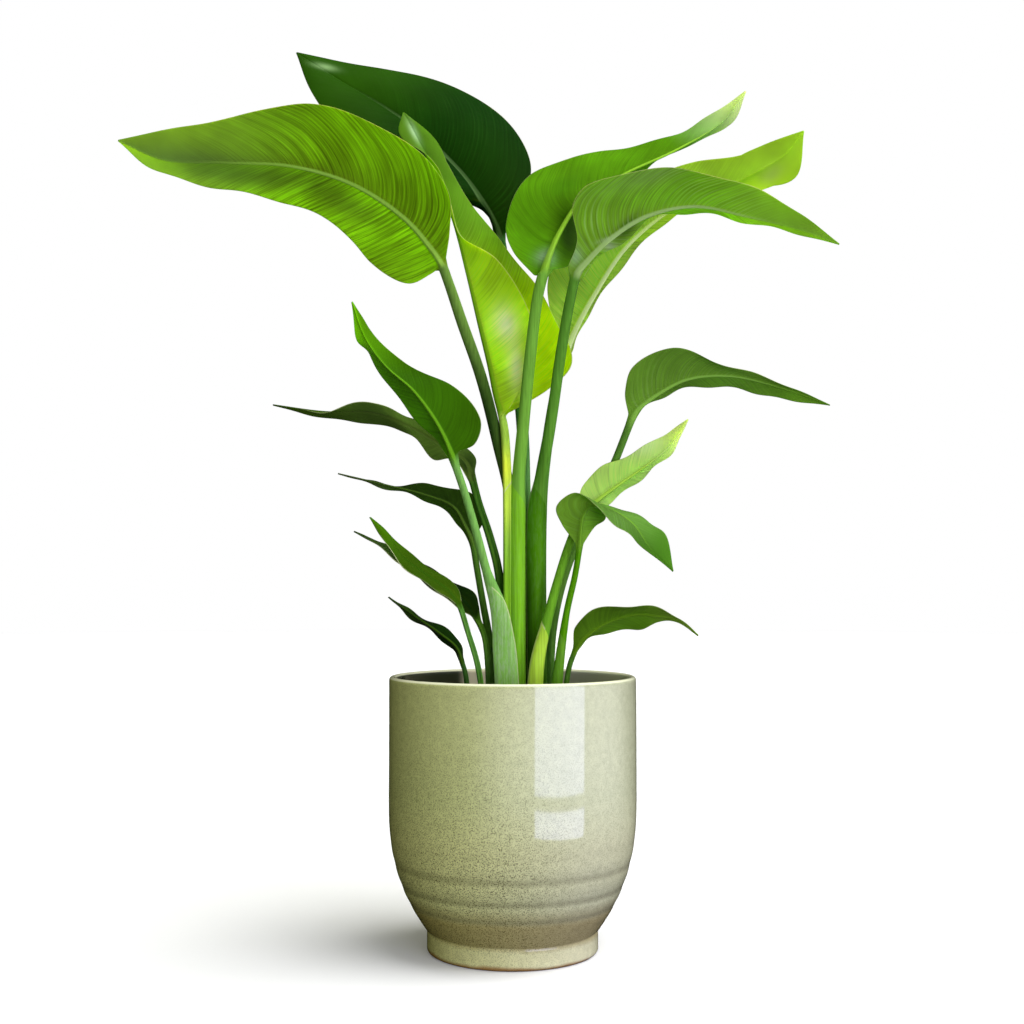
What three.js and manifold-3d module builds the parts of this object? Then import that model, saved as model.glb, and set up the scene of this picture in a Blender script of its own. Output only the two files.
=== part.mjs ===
// A giant white bird of paradise, a house plant with paddle leaves, in a glazed pot.
// Millimetres, +Z up, the pot's foot centred on the origin and the room in front at -Y.
import * as THREE from "three";
import { mergeVertices } from "three/addons/utils/BufferGeometryUtils.js";
import Module from "manifold-3d";

const wasm = await Module();
wasm.setup();

// Glazed pot
const POT_HEIGHT = 262;
const POT_RADIUS = 120;
const POT_WALL = 7;
const POT_FLOOR = 10;
const FOOT_RADIUS = 82.5;
const FOOT_HEIGHT = 17;
const FOOT_EDGE = 3;
const FOOT_GROOVE = 0.7;
const FOOT_GROOVE_HALF_HEIGHT = 1.5;
const BELLY_START_RADIUS = 84;
const BELLY_START = 22;
const BELLY_TOP = 142;
const BELLY_CURVE = 2.4;
const BELLY_STEPS = 8;
const LIP_STEPS = 4;
const POT_SEGMENTS = 48;
const ROUND_CORNER = 1 - Math.SQRT1_2;

// Nursery pot inside it
const GROW_POT_BASE_RADIUS = 68;
const GROW_POT_TOP_RADIUS = 98;
const GROW_POT_HEIGHT = 224;
const GROW_POT_WALL = 2;
const GROW_POT_LIP = 4;
const GROW_POT_LIP_DEPTH = 14;
const GROW_POT_SEGMENTS = 36;
const DRAIN_HOLES = 6;
const DRAIN_RADIUS = 5;
const DRAIN_CIRCLE = 50;

// Potting soil
const SOIL_TOP = 222;
const SOIL_RINGS = 4;
const SOIL_RIPPLE = 1.6;
const SOIL_RIPPLE_LENGTH = 11;
const SOCKET_GAP = 0.4;

// Clearance between pieces that touch on the real plant
const REST_GAP = 0.3;

// Leaves
const BLADE_THICKNESS = 1;
const TIP_HALF_WIDTH = 0.8;
const LARGE = { steps: 3, shares: [1, 0.7, 0.4] };
const SMALL = { steps: 2, shares: [1, 0.55] };
const NECK_SHARE = 0.15;
const PETIOLE_TURN = 3;
const SHOULDER_REACH = 1.15;
const SHOULDER_MOST = 0.25;
const NEST_GAP = 0.35;

// Each leaf gives the stations of its petiole as [x, y, z, half width, half depth], points along the
// midrib to the tip, and the left and right edge of the blade beside all of those but the tip.
// The arch is how far each half of the blade bows up, as a share of its width.
const LEAVES = {
  leaf_upper_left: {
    colour: 0x7db32a,
    ...LARGE,
    arch: 0.07,
    stalk: [
      [2, 17, 192, 6.5, 6.5], [2, 17, 238, 6.5, 6.5], [-2, 15, 434, 6, 6], [-14, 13, 489, 5.8, 5.8],
      [-31, 5, 555, 5.6, 5.6], [-50, -4, 609, 5.4, 5.4], [-63, -10, 647, 4.8, 4.8],
    ],
    rib: [
      [-70, -12, 665], [-80, -14, 680], [-105, -19, 708], [-155, -26, 740], [-213, -36, 755],
      [-276, -48, 755], [-332, -60, 754], [-372, -70, 769],
    ],
    left: [
      [-65, -15, 671], [-61, -28, 695], [-63, -53, 731], [-110, -70, 774], [-192, -80, 801],
      [-263, -82, 787], [-333, -76, 776],
    ],
    right: [
      [-76, -9, 658], [-103, 0, 648], [-142, 11, 672], [-177, 12, 710], [-236, 4, 733],
      [-299, -16, 741], [-348, -46, 750],
    ],
  },
  leaf_top_back: {
    colour: 0x1d5a14,
    ...LARGE,
    arch: 0.08,
    stalk: [
      [15, 23, 192, 6.5, 6.5], [15, 23, 238, 6.5, 6.5], [12, 22, 435, 6.2, 6.2], [10, 28, 506, 6, 6],
      [4, 42, 569, 5.6, 5.6], [-3, 62, 645, 5, 5], [-9, 76, 694, 4.4, 4.4],
    ],
    rib: [
      [-13, 82, 715], [-23, 86, 740], [-47, 92, 778], [-67, 96, 802], [-98, 103, 834],
      [-139, 113, 866], [-190, 126, 901], [-238, 140, 936],
    ],
    left: [
      [-19, 85, 715], [-27, 108, 747], [-70, 70, 755], [-92, 64, 761], [-130, 65, 780],
      [-173, 77, 819], [-215, 106, 877],
    ],
    right: [
      [-7, 85, 721], [11, 100, 756], [19.5, 124, 808], [0.5, 132, 849], [-44, 141, 888], [-102, 145, 912],
      [-171, 144, 924],
    ],
  },
  leaf_upper_right: {
    colour: 0x3f8f1c,
    ...LARGE,
    arch: 0.08,
    sheathes: "leaf_young_folded",
    stalk: [
      [5, 0, 192, 8, 7.5], [5, 0, 238, 8, 7.5], [5, 0, 429, 7.8, 7.3], [6, 0, 456, 6.6, 6.6],
      [11, -2, 512, 5.8, 5.8], [18, -6, 581, 5.7, 5.7], [25, -8, 635, 5.4, 5.4],
    ],
    rib: [
      [32, -8, 662], [38, -7, 679], [48, -2, 701], [70, 8, 735], [114, 22, 765], [167, 33, 793],
      [215, 42, 825], [240, 45, 858],
    ],
    left: [
      [41, 0, 662], [54, 17, 669], [72, 46, 688], [98, 64, 717], [125, 68, 769], [167, 63, 800],
      [223, 56, 825],
    ],
    right: [
      [23, -5, 653], [0, 8, 683], [-7, 26, 717], [21, 44, 773], [91, 58, 799], [158, 61, 814],
      [207, 56, 838],
    ],
  },
  leaf_front_right: {
    colour: 0x5a9a2c,
    ...LARGE,
    arch: 0.07,
    stalk: [
      [24, 3, 192, 10, 8], [24, 3, 238, 10, 8], [24, 3, 422, 10, 8], [28, 2, 455, 6.2, 6.2],
      [38, 0, 512, 5.4, 5.4], [48, -4, 581, 5.3, 5.3], [57, -7, 632, 5, 5],
    ],
    rib: [
      [63, -8, 655], [72, -10, 667], [94, -15, 688], [130, -22, 710], [176, -33, 717], [226, -46, 703],
      [275, -56, 687], [309, -62, 672],
    ],
    left: [
      [70, -4, 653], [84, 8, 676], [106, 23, 690], [139, 24, 719], [181, 9, 721], [228, -20, 704],
      [275, -47, 685],
    ],
    right: [
      [54, -8, 662], [63, -18, 686], [58, -37, 718], [76, -58, 732], [143, -71, 742], [222, -68, 727],
      [272, -64, 701],
    ],
  },
  leaf_young_folded: {
    colour: 0xa8cc3a,
    ...LARGE,
    arch: 0.1,
    stalk: [
      [-5, -1, 192, 4.6, 5.2], [-5, -1, 238, 4.6, 5.2], [-5, -1, 433, 4.5, 4.8],
      [-6, 1, 473, 4.3, 4.3], [-8, 5, 503, 4.2, 4.2],
    ],
    rib: [
      [-11, 9, 521], [-16, 13, 540], [-22, 19, 569], [-33, 28, 615], [-45, 37, 666], [-58, 45, 716],
      [-78, 51, 771], [-100, 55, 815], [-113, 57, 840],
    ],
    left: [
      [-4, 6, 523], [11, 5, 550], [22, 9, 587], [14, 18, 630], [-16, 27, 679], [-55, 37, 709],
      [-74, 42, 775], [-110, 45, 810],
    ],
    right: [
      [-3, 12, 521], [38, 25, 548], [60, 35, 574], [46, 54, 620], [19, 65, 668], [-17, 65, 712],
      [-60, 59, 772], [-82, 59, 813],
    ],
  },
  leaf_back_right: {
    colour: 0x8fbf35,
    ...LARGE,
    arch: 0.07,
    stalk: [
      [28, 25, 192, 6, 6], [28, 25, 238, 6, 6], [29, 26, 435, 5.8, 5.8], [34, 32, 486, 5.6, 5.6],
      [41, 41, 533, 5.2, 5.2], [48, 50, 568, 4.8, 4.8],
    ],
    rib: [
      [56, 56, 591], [64, 59, 611], [84, 66, 649], [120, 76, 704], [173, 87, 749], [227, 95, 773],
      [261, 99, 791], [290, 102, 809], [312, 104, 836],
    ],
    left: [
      [62, 61, 591], [68, 73, 611], [91, 96, 652], [131, 114, 707], [185, 125, 755], [243, 125, 767],
      [280, 119, 780], [305, 112, 793],
    ],
    right: [
      [49, 55, 591], [39, 61, 630], [38, 72, 674], [69, 76, 730], [134, 83, 772], [193, 97, 801],
      [242, 105, 809], [281, 107, 825],
    ],
  },
  leaf_mid_left: {
    colour: 0x2f7a1a,
    ...SMALL,
    arch: 0.04,
    stalk: [
      [-5, -14, 192, 12, 3], [-5, -14, 238, 12, 3], [-8, -14, 288, 11.5, 3], [-13, -15, 326, 8.5, 3.2],
      [-25, -19, 363, 4.3, 4.3], [-34, -24, 397, 4, 4], [-45.5, -32, 437, 3.7, 3.7],
    ],
    rib: [
      [-57, -39, 471], [-63, -42, 487], [-75, -46, 509], [-95, -52, 535], [-120, -57, 557],
      [-139, -62, 583], [-151, -66, 616],
    ],
    left: [
      [-52, -37, 478], [-37, -32, 485], [-30, -28, 508], [-59, -30, 543], [-104, -43, 562],
      [-135, -57, 593],
    ],
    right: [
      [-62, -37, 472], [-71, -28, 485], [-88, -22, 504], [-114, -28, 534], [-136, -39, 568],
      [-147, -54, 582],
    ],
  },
  leaf_mid_left_back: {
    colour: 0x2a5a1c,
    ...SMALL,
    arch: 0.04,
    stalk: [
      [-11, 12, 192, 4.2, 4.2], [-11, 12, 238, 4.2, 4.2], [-13, 11, 357, 4.2, 4.2],
      [-22, 7, 396, 4, 4], [-33.5, 4, 431, 3.8, 3.8],
    ],
    rib: [
      [-40, 2, 455], [-46, 3, 471], [-72, 6, 489], [-104, 10, 508], [-142, 16, 522], [-188, 22, 523],
      [-241, 28, 531],
    ],
    left: [
      [-44, 1, 454], [-57, -5, 472], [-76, -6, 473], [-100, 6, 497], [-142, 28, 512], [-187, 27, 517],
    ],
    right: [
      [-37, 2, 462], [-37, 11, 476], [-63, 20, 501], [-103, 19, 518], [-143, 7, 532], [-188, 18, 523],
    ],
  },
  leaf_left_dark: {
    colour: 0x2a4a18,
    ...SMALL,
    arch: 0.04,
    stalk: [
      [-18, 21, 192, 4, 4], [-18, 21, 238, 4, 4], [-23, 21, 296, 3.8, 3.8], [-29, 18, 330, 3.4, 3.4],
      [-35, 15, 365, 3.2, 3.2],
    ],
    rib: [
      [-40, 12, 393], [-47, 14, 409], [-59, 18, 428], [-89, 26, 441], [-128, 35, 451], [-177, 44, 463],
    ],
    left: [
      [-36, 15, 400], [-29, 27, 416], [-42, 37, 442], [-83, 46, 452], [-126, 44, 452],
    ],
    right: [
      [-44, 14, 394], [-52, 25, 408], [-67, 36, 423], [-93, 42, 438], [-129, 43, 448],
    ],
  },
  leaf_lower_left_front: {
    colour: 0x4f8a38,
    ...SMALL,
    arch: 0.04,
    stalk: [
      [-28, -44, 192, 2.8, 2.8], [-28, -44, 238, 2.8, 2.8], [-33, -46, 275, 2.8, 2.8],
      [-42, -50, 306, 2.6, 2.6],
    ],
    rib: [
      [-50, -54, 331], [-58, -56, 344], [-77, -61, 358], [-101, -68, 376], [-116, -73, 397],
      [-132, -76, 413],
    ],
    left: [
      [-53, -55, 332], [-64, -62, 341], [-82, -70, 352], [-105, -75, 371], [-122, -76, 395],
    ],
    right: [
      [-48, -53, 334], [-50, -51, 345], [-70, -52, 362], [-95, -61, 379], [-113, -70, 397],
    ],
  },
  leaf_lower_left_back: {
    colour: 0x2a4a18,
    ...SMALL,
    arch: 0.04,
    stalk: [
      [-20, 2, 192, 6, 4.5], [-20, 2, 238, 6, 4.5], [-27, -3, 299, 3, 3],
    ],
    rib: [
      [-36, -7, 320], [-45, -4, 335], [-71, 2, 351], [-106, 12, 374], [-135, 22, 393], [-159, 30, 404],
    ],
    left: [
      [-40, -9, 320], [-52, -11, 327], [-75, -7, 344], [-108, 5, 369], [-136, 19, 390],
    ],
    right: [
      [-32, -5, 327], [-37, 4, 341], [-66, 12, 358], [-104, 19, 379], [-134, 25, 394],
    ],
  },
  leaf_lowest_left: {
    colour: 0x2a4a18,
    ...SMALL,
    arch: 0.04,
    stalk: [
      [-42, -34, 192, 2.6, 2.6], [-42, -34, 238, 2.6, 2.6], [-45, -36, 267, 2.4, 2.4],
    ],
    rib: [
      [-48, -38, 277], [-53, -41, 291], [-70, -47, 306], [-93, -54, 322], [-116, -60, 339],
    ],
    left: [
      [-47, -36, 283], [-49, -31, 296], [-66, -33, 310], [-91, -46, 323],
    ],
    right: [
      [-51, -36, 279], [-58, -35, 290], [-76, -39, 305], [-97, -48, 320],
    ],
  },
  leaf_mid_right: {
    colour: 0x3a6a20,
    ...SMALL,
    arch: 0.04,
    stalk: [
      [36, 15.5, 192, 4.5, 4.5], [36, 15.5, 238, 4.5, 4.5], [40, 15, 311, 4.4, 4.4], [55, 19, 370, 4.2, 4.2],
      [82, 28, 427, 4.1, 4.1], [105, 34, 479, 3.8, 3.8],
    ],
    rib: [
      [120, 36, 516], [127, 38, 528], [146, 41, 543], [179, 46, 560], [225, 52, 564], [280, 60, 552],
      [328, 66, 536],
    ],
    left: [
      [125, 39, 519], [136, 51, 533], [157, 67, 545], [189, 76, 556], [233, 76, 554], [281, 70, 542],
    ],
    right: [
      [117, 36, 523], [113, 30, 544], [119, 21, 566], [159, 19, 588], [203, 32, 576], [272, 53, 558],
    ],
  },
  leaf_small_right: {
    colour: 0x7fbf3a,
    ...SMALL,
    arch: 0.04,
    stalk: [
      [21, -22, 192, 8, 5], [21, -22, 238, 8, 5], [24, -22, 278, 7, 5], [33.5, -21, 317, 5, 4.8],
      [44, -18, 355, 4.4, 4.4], [55, -13, 389, 4.2, 4.2],
    ],
    rib: [
      [68, -8, 418], [82, -6, 432], [105, 0, 449], [132, 8, 468], [157, 14, 489], [175, 18, 515],
    ],
    left: [
      [75, -4, 420], [92, 5, 428], [117, 21, 447], [142, 30, 467], [162, 26, 486],
    ],
    right: [
      [63, -6, 426], [69, 2, 448], [88, 16, 467], [121, 26, 483], [152, 24, 501],
    ],
  },
  leaf_twisted_right: {
    colour: 0x3f6f28,
    ...SMALL,
    arch: 0.04,
    stalk: [
      [41.5, -14, 192, 6, 4.5], [41.5, -14, 238, 6, 4.5], [51.5, -20, 321, 3.2, 3.2],
      [60, -26, 360, 2.9, 2.9],
    ],
    rib: [
      [64, -30, 387], [65, -30, 401], [68, -28, 417], [77, -24, 427], [94, -28, 423], [114, -38, 409],
      [131, -50, 383], [150, -60, 363],
    ],
    left: [
      [68, -28, 390], [79, -24, 406], [91, -12, 414], [93, -2, 428], [109, -8, 422], [131, -23, 412],
      [146, -41, 396],
    ],
    right: [
      [60, -29, 391], [47, -26, 409], [42, -24, 425], [60, -32, 439], [80, -50, 422], [99, -57, 405],
      [117, -59, 390],
    ],
  },
  leaf_lowest_right: {
    colour: 0x55602a,
    ...SMALL,
    arch: 0.04,
    stalk: [
      [51, -2, 192, 2.8, 2.8], [51, -2, 238, 2.8, 2.8], [55, -3, 270, 2.6, 2.6],
    ],
    rib: [
      [60, -4, 284], [67, -8, 296], [85, -16, 311], [115, -29, 322], [138, -41, 321], [157, -48, 317],
      [174, -54, 303],
    ],
    left: [
      [64, -1, 287], [74, 1, 297], [92, 0, 304], [121, -12, 307], [138, -33, 314], [156, -46, 315],
    ],
    right: [
      [59, -4, 291], [60, -15, 309], [74, -32, 325], [114, -46, 331], [139, -49, 328], [157, -50, 319],
    ],
  },
};

const add = (a, b, share = 1) => a.clone().addScaledVector(b, share);
const vector = (p) => new THREE.Vector3(p[0], p[1], p[2]);

function lathe(points, segments) {
  const outline = points.map(([radius, height]) => new THREE.Vector2(radius, height));
  return new THREE.LatheGeometry(outline, segments).rotateX(Math.PI / 2);
}

function finish(colour, roughness) {
  return new THREE.MeshStandardMaterial({ color: colour, roughness, metalness: 0 });
}

function piece(name, geometry, material) {
  const mesh = new THREE.Mesh(geometry, material);
  mesh.name = name;
  return mesh;
}

// Solids, for the few cuts

function solid(geometry) {
  const bare = new THREE.BufferGeometry();
  bare.setAttribute("position", geometry.getAttribute("position"));
  bare.setIndex(geometry.index);
  const merged = mergeVertices(bare, 1e-3);
  return new wasm.Manifold(
    new wasm.Mesh({
      numProp: 3,
      vertProperties: merged.attributes.position.array,
      triVerts: new Uint32Array(merged.index.array),
    }),
  );
}

function shape(made) {
  const mesh = made.getMesh();
  const geometry = new THREE.BufferGeometry();
  geometry.setAttribute("position", new THREE.BufferAttribute(mesh.vertProperties, 3));
  geometry.setIndex(new THREE.BufferAttribute(mesh.triVerts, 1));
  geometry.computeVertexNormals();
  return geometry;
}

// Pot

function bellyRadius(z) {
  const share = THREE.MathUtils.clamp((z - BELLY_START) / (BELLY_TOP - BELLY_START), 0, 1);
  const swell = 1 - Math.pow(1 - share, BELLY_CURVE);
  return BELLY_START_RADIUS + (POT_RADIUS - BELLY_START_RADIUS) * swell;
}

function potProfile() {
  const lipRadius = POT_WALL / 2;
  const lipCentre = [POT_RADIUS - lipRadius, POT_HEIGHT - lipRadius];
  const points = [
    [0, 0],
    [FOOT_RADIUS - FOOT_EDGE, 0],
    [FOOT_RADIUS - FOOT_EDGE * ROUND_CORNER, FOOT_EDGE * ROUND_CORNER],
    [FOOT_RADIUS, FOOT_EDGE],
    [FOOT_RADIUS, FOOT_HEIGHT - FOOT_GROOVE_HALF_HEIGHT],
    [FOOT_RADIUS - FOOT_GROOVE, FOOT_HEIGHT + FOOT_GROOVE_HALF_HEIGHT],
  ];
  for (let i = 0; i <= BELLY_STEPS; i++) {
    const z = BELLY_START + ((BELLY_TOP - BELLY_START) * i) / BELLY_STEPS;
    points.push([bellyRadius(z), z]);
  }
  for (let i = 0; i <= LIP_STEPS; i++) {
    const angle = (Math.PI * i) / LIP_STEPS;
    const r = lipCentre[0] + lipRadius * Math.cos(angle);
    points.push([r, lipCentre[1] + lipRadius * Math.sin(angle)]);
  }
  for (let i = BELLY_STEPS; i >= 0; i--) {
    const z = BELLY_START + ((BELLY_TOP - BELLY_START) * i) / BELLY_STEPS;
    points.push([bellyRadius(z) - POT_WALL, z]);
  }
  points.push([BELLY_START_RADIUS - 2 * POT_WALL, POT_FLOOR]);
  points.push([0, POT_FLOOR]);
  return points;
}

function makePot() {
  return piece("pot", lathe(potProfile(), POT_SEGMENTS), finish(0xaab184, 0.25));
}

// Nursery pot, with drain holes through its floor

function growPotProfile() {
  const floor = POT_FLOOR + REST_GAP;
  const top = floor + GROW_POT_HEIGHT;
  const lipFoot = top - GROW_POT_LIP_DEPTH;
  return [
    [0, floor],
    [GROW_POT_BASE_RADIUS, floor],
    [GROW_POT_TOP_RADIUS, lipFoot],
    [GROW_POT_TOP_RADIUS + GROW_POT_LIP, lipFoot],
    [GROW_POT_TOP_RADIUS + GROW_POT_LIP, top],
    [GROW_POT_TOP_RADIUS + GROW_POT_LIP - GROW_POT_WALL, top],
    [GROW_POT_TOP_RADIUS - GROW_POT_WALL, lipFoot],
    [GROW_POT_BASE_RADIUS - GROW_POT_WALL, floor + GROW_POT_WALL],
    [0, floor + GROW_POT_WALL],
  ];
}

function makeGrowPot() {
  let body = solid(lathe(growPotProfile(), GROW_POT_SEGMENTS));
  for (let i = 0; i < DRAIN_HOLES; i++) {
    const angle = (2 * Math.PI * i) / DRAIN_HOLES;
    const hole = new THREE.CylinderGeometry(DRAIN_RADIUS, DRAIN_RADIUS, 4 * GROW_POT_WALL, 8);
    hole.rotateX(Math.PI / 2);
    hole.translate(DRAIN_CIRCLE * Math.cos(angle), DRAIN_CIRCLE * Math.sin(angle), POT_FLOOR + 1);
    body = body.subtract(solid(hole));
  }
  return piece("grow_pot", shape(body), finish(0x6e5a48, 0.6));
}

// Soil, with a plain socket for each petiole

function growPotInnerRadius(z) {
  const floor = POT_FLOOR + REST_GAP + GROW_POT_WALL;
  const lipFoot = POT_FLOOR + REST_GAP + GROW_POT_HEIGHT - GROW_POT_LIP_DEPTH;
  const share = (z - floor) / (lipFoot - floor);
  return THREE.MathUtils.lerp(GROW_POT_BASE_RADIUS, GROW_POT_TOP_RADIUS, share) - GROW_POT_WALL;
}

function socketOf(leaf) {
  const [x, y, z, halfWidth, halfDepth] = leaf.stalk[0];
  const ends = [z - SOCKET_GAP, 2 * SOIL_TOP - z].map((height) =>
    petioleLoop(
      new THREE.Vector3(x, y, height),
      new THREE.Vector3(petioleSide(leaf), 0, 0),
      new THREE.Vector3(0, -petioleSide(leaf), 0),
      halfWidth + SOCKET_GAP,
      halfDepth + SOCKET_GAP,
      leaf.shares.length,
    ),
  );
  return skin(ends);
}

function makeSoil() {
  const floor = POT_FLOOR + GROW_POT_WALL + 2 * REST_GAP;
  const rim = SOIL_TOP - SOIL_RIPPLE;
  const points = [
    [0, floor],
    [growPotInnerRadius(floor) - REST_GAP, floor],
    [growPotInnerRadius(rim) - REST_GAP, rim],
  ];
  for (let i = SOIL_RINGS - 1; i >= 0; i--) {
    points.push([(points[2][0] * i) / SOIL_RINGS, SOIL_TOP]);
  }
  const ground = lathe(points, GROW_POT_SEGMENTS);
  const position = ground.getAttribute("position");
  for (let i = 0; i < position.count; i++) {
    if (position.getZ(i) === SOIL_TOP) {
      const x = position.getX(i);
      const y = position.getY(i);
      const ripple = Math.sin(x / SOIL_RIPPLE_LENGTH + 1) * Math.cos(y / SOIL_RIPPLE_LENGTH);
      position.setZ(i, SOIL_TOP + SOIL_RIPPLE * ripple);
    }
  }
  let body = solid(ground);
  for (const leaf of Object.values(LEAVES)) {
    body = body.subtract(solid(socketOf(leaf)));
  }
  return piece("soil", shape(body), finish(0x3a2a1c, 0.95));
}

// Leaf: one skin from the petiole's foot to the blade's tip

function curve(points) {
  return new THREE.CatmullRomCurve3(points.map(vector), false, "centripetal");
}

// Which way along X a petiole's right side points, so that it doesn't twist on its way to the blade
function petioleSide(leaf) {
  return leaf.right[0][0] < leaf.left[0][0] ? -1 : 1;
}

function petioleLoop(centre, side, up, halfWidth, halfDepth, shares) {
  const loop = [];
  const count = 2 * (2 * shares + 3);
  for (let k = 0; k < count; k++) {
    const angle = Math.PI - ((k + 0.5) * 2 * Math.PI) / count;
    const out = add(centre, side, halfWidth * Math.cos(angle));
    loop.push(out.addScaledVector(up, halfDepth * Math.sin(angle)));
  }
  return loop;
}

// The upper face from left to right, then the lower face back, with the midrib standing out below
function bladeLoop(station, arch, shares) {
  const { centre, along, left, right, up, halfWidth, halfDepth } = station;
  const half = BLADE_THICKNESS / 2;
  const toLeft = left.clone().sub(centre);
  const toRight = right.clone().sub(centre);
  const leftUp = along.clone().cross(toLeft).normalize();
  const rightUp = toRight.clone().cross(along).normalize();
  const upper = [];
  const lower = [];
  const place = (reach, faceUp, share) => {
    const bow = arch * reach.length() * 4 * share * (1 - share);
    const middle = add(centre, reach, share).addScaledVector(faceUp, bow);
    upper.push(add(middle, faceUp, half));
    lower.push(add(middle, faceUp, -half));
  };
  const shoulder = (reach) => Math.min(SHOULDER_MOST, (SHOULDER_REACH * halfWidth) / reach.length());
  shares.forEach((share) => place(toLeft, leftUp, share));
  place(toLeft, leftUp, shoulder(toLeft));
  upper.push(add(centre, up, half));
  lower.push(add(centre, up, -Math.max(halfDepth, half)));
  place(toRight, rightUp, shoulder(toRight));
  [...shares].reverse().forEach((share) => place(toRight, rightUp, share));
  return [...upper, ...lower.reverse()];
}

function leafLoops(leaf) {
  const { stalk, rib, left, right, arch, steps, shares } = leaf;
  const path = curve([...stalk, ...rib]);
  const last = stalk.length + rib.length - 1;
  const edges = [left, right].map((edge) => {
    const end = vector(rib.at(-1));
    const before = vector(edge.at(-1)).sub(vector(rib.at(-2))).setLength(TIP_HALF_WIDTH);
    return curve([...edge, add(end, before).toArray()]);
  });
  const loops = [];
  const firstAcross = vector(right[0]).sub(vector(left[0])).normalize();
  const foot = new THREE.Vector3(petioleSide(leaf), 0, 0);
  const neck = stalk.length - NECK_SHARE;
  for (const i of [...stalk.keys(), neck]) {
    const centre = path.getPoint(i / last);
    const along = path.getTangent(i / last);
    const side = foot.clone().lerp(firstAcross, Math.pow(i / stalk.length, PETIOLE_TURN));
    side.addScaledVector(along, -side.dot(along)).normalize();
    const up = side.clone().cross(along);
    const [halfWidth, halfDepth] = (stalk[i] ?? stalk.at(-1)).slice(3);
    loops.push(petioleLoop(centre, side, up, halfWidth, halfDepth, shares.length));
  }
  const [rootWidth, rootDepth] = stalk.at(-1).slice(3);
  const count = (rib.length - 1) * steps;
  for (let i = 0; i <= count; i++) {
    const share = i / count;
    const at = (stalk.length + share * (rib.length - 1)) / last;
    const station = {
      centre: path.getPoint(at),
      along: path.getTangent(at),
      left: edges[0].getPoint(share),
      right: edges[1].getPoint(share),
      halfWidth: THREE.MathUtils.lerp(rootWidth, TIP_HALF_WIDTH, share),
      halfDepth: THREE.MathUtils.lerp(rootDepth, TIP_HALF_WIDTH, share),
    };
    station.up = station.right.clone().sub(station.left).cross(station.along).normalize();
    loops.push(bladeLoop(station, arch, shares));
  }
  return loops;
}

// Both faces of a blade are split along the same diagonals, so that they never cross
function skin(loops) {
  const around = loops[0].length;
  const points = loops.flat();
  const faces = [];
  for (let i = 0; i < loops.length - 1; i++) {
    for (let k = 0; k < around; k++) {
      const a = i * around + k;
      const b = i * around + ((k + 1) % around);
      const c = a + around;
      const d = b + around;
      const onUpperFace = k < around / 2;
      faces.push(...(onUpperFace ? [a, b, c, b, d, c] : [a, b, d, a, d, c]));
    }
  }
  const centreOf = (loop) => loop.reduce((sum, p) => sum.add(p), new THREE.Vector3());
  const foot = points.push(centreOf(loops[0]).divideScalar(around)) - 1;
  const tip = points.push(centreOf(loops.at(-1)).divideScalar(around)) - 1;
  const end = (loops.length - 1) * around;
  for (let k = 0; k < around; k++) {
    const next = (k + 1) % around;
    faces.push(foot, next, k, tip, end + k, end + next);
  }
  const geometry = new THREE.BufferGeometry().setFromPoints(points);
  geometry.setIndex(faces);
  geometry.computeVertexNormals();
  return geometry;
}

function thickened(leaf, gap) {
  const stalk = leaf.stalk.map(([x, y, z, a, b]) => [x, y, z, a + gap, b + gap]);
  return skin(leafLoops({ ...leaf, stalk }));
}

// A young petiole lies in the sheath of the older leaf beside it
function makeLeaf(name, leaf) {
  let geometry = skin(leafLoops(leaf));
  if (leaf.sheathes) {
    const nested = solid(thickened(LEAVES[leaf.sheathes], NEST_GAP));
    geometry = shape(solid(geometry).subtract(nested));
  }
  return piece(name, geometry, finish(leaf.colour, 0.45));
}

const group = new THREE.Group();
group.add(makePot());
group.add(makeGrowPot());
group.add(makeSoil());
for (const [name, leaf] of Object.entries(LEAVES)) {
  group.add(makeLeaf(name, leaf));
}

export default group;
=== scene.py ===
"""A potted giant white bird of paradise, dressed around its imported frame.

Lengths in the tables are millimetres, and every mesh is in metres. +Z is up, the foot of the pot is
centred on the origin, and the room in front is at -Y.
"""

import math

import bmesh
import bpy
import numpy as np
from bpy.props import (
    CollectionProperty,
    FloatProperty,
    FloatVectorProperty,
    IntProperty,
    PointerProperty,
)
from mathutils import Matrix, Vector, noise


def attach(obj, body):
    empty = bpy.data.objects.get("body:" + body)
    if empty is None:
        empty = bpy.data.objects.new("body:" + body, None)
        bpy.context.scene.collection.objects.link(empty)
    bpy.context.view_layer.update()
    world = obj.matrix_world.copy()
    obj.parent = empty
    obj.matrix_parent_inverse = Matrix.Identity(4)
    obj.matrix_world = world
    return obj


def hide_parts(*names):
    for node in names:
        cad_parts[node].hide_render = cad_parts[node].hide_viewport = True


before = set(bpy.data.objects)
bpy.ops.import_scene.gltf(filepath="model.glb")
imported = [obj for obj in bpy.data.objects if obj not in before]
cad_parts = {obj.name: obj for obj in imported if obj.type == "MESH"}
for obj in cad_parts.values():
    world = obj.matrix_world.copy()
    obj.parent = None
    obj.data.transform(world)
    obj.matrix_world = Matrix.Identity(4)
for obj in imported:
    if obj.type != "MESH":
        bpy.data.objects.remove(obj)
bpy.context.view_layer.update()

bl_info = {
    "name": "Potted giant white bird of paradise",
    "version": (1, 0, 0),
    "blender": (4, 5, 0),
    "location": "3D View > Sidebar > Plant",
    "description": "Builds the leaves, the glazed pot, its soil and a plain studio around the frame",
    "category": "Object",
}

MM = 0.001
TAU = 2 * math.pi

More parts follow.
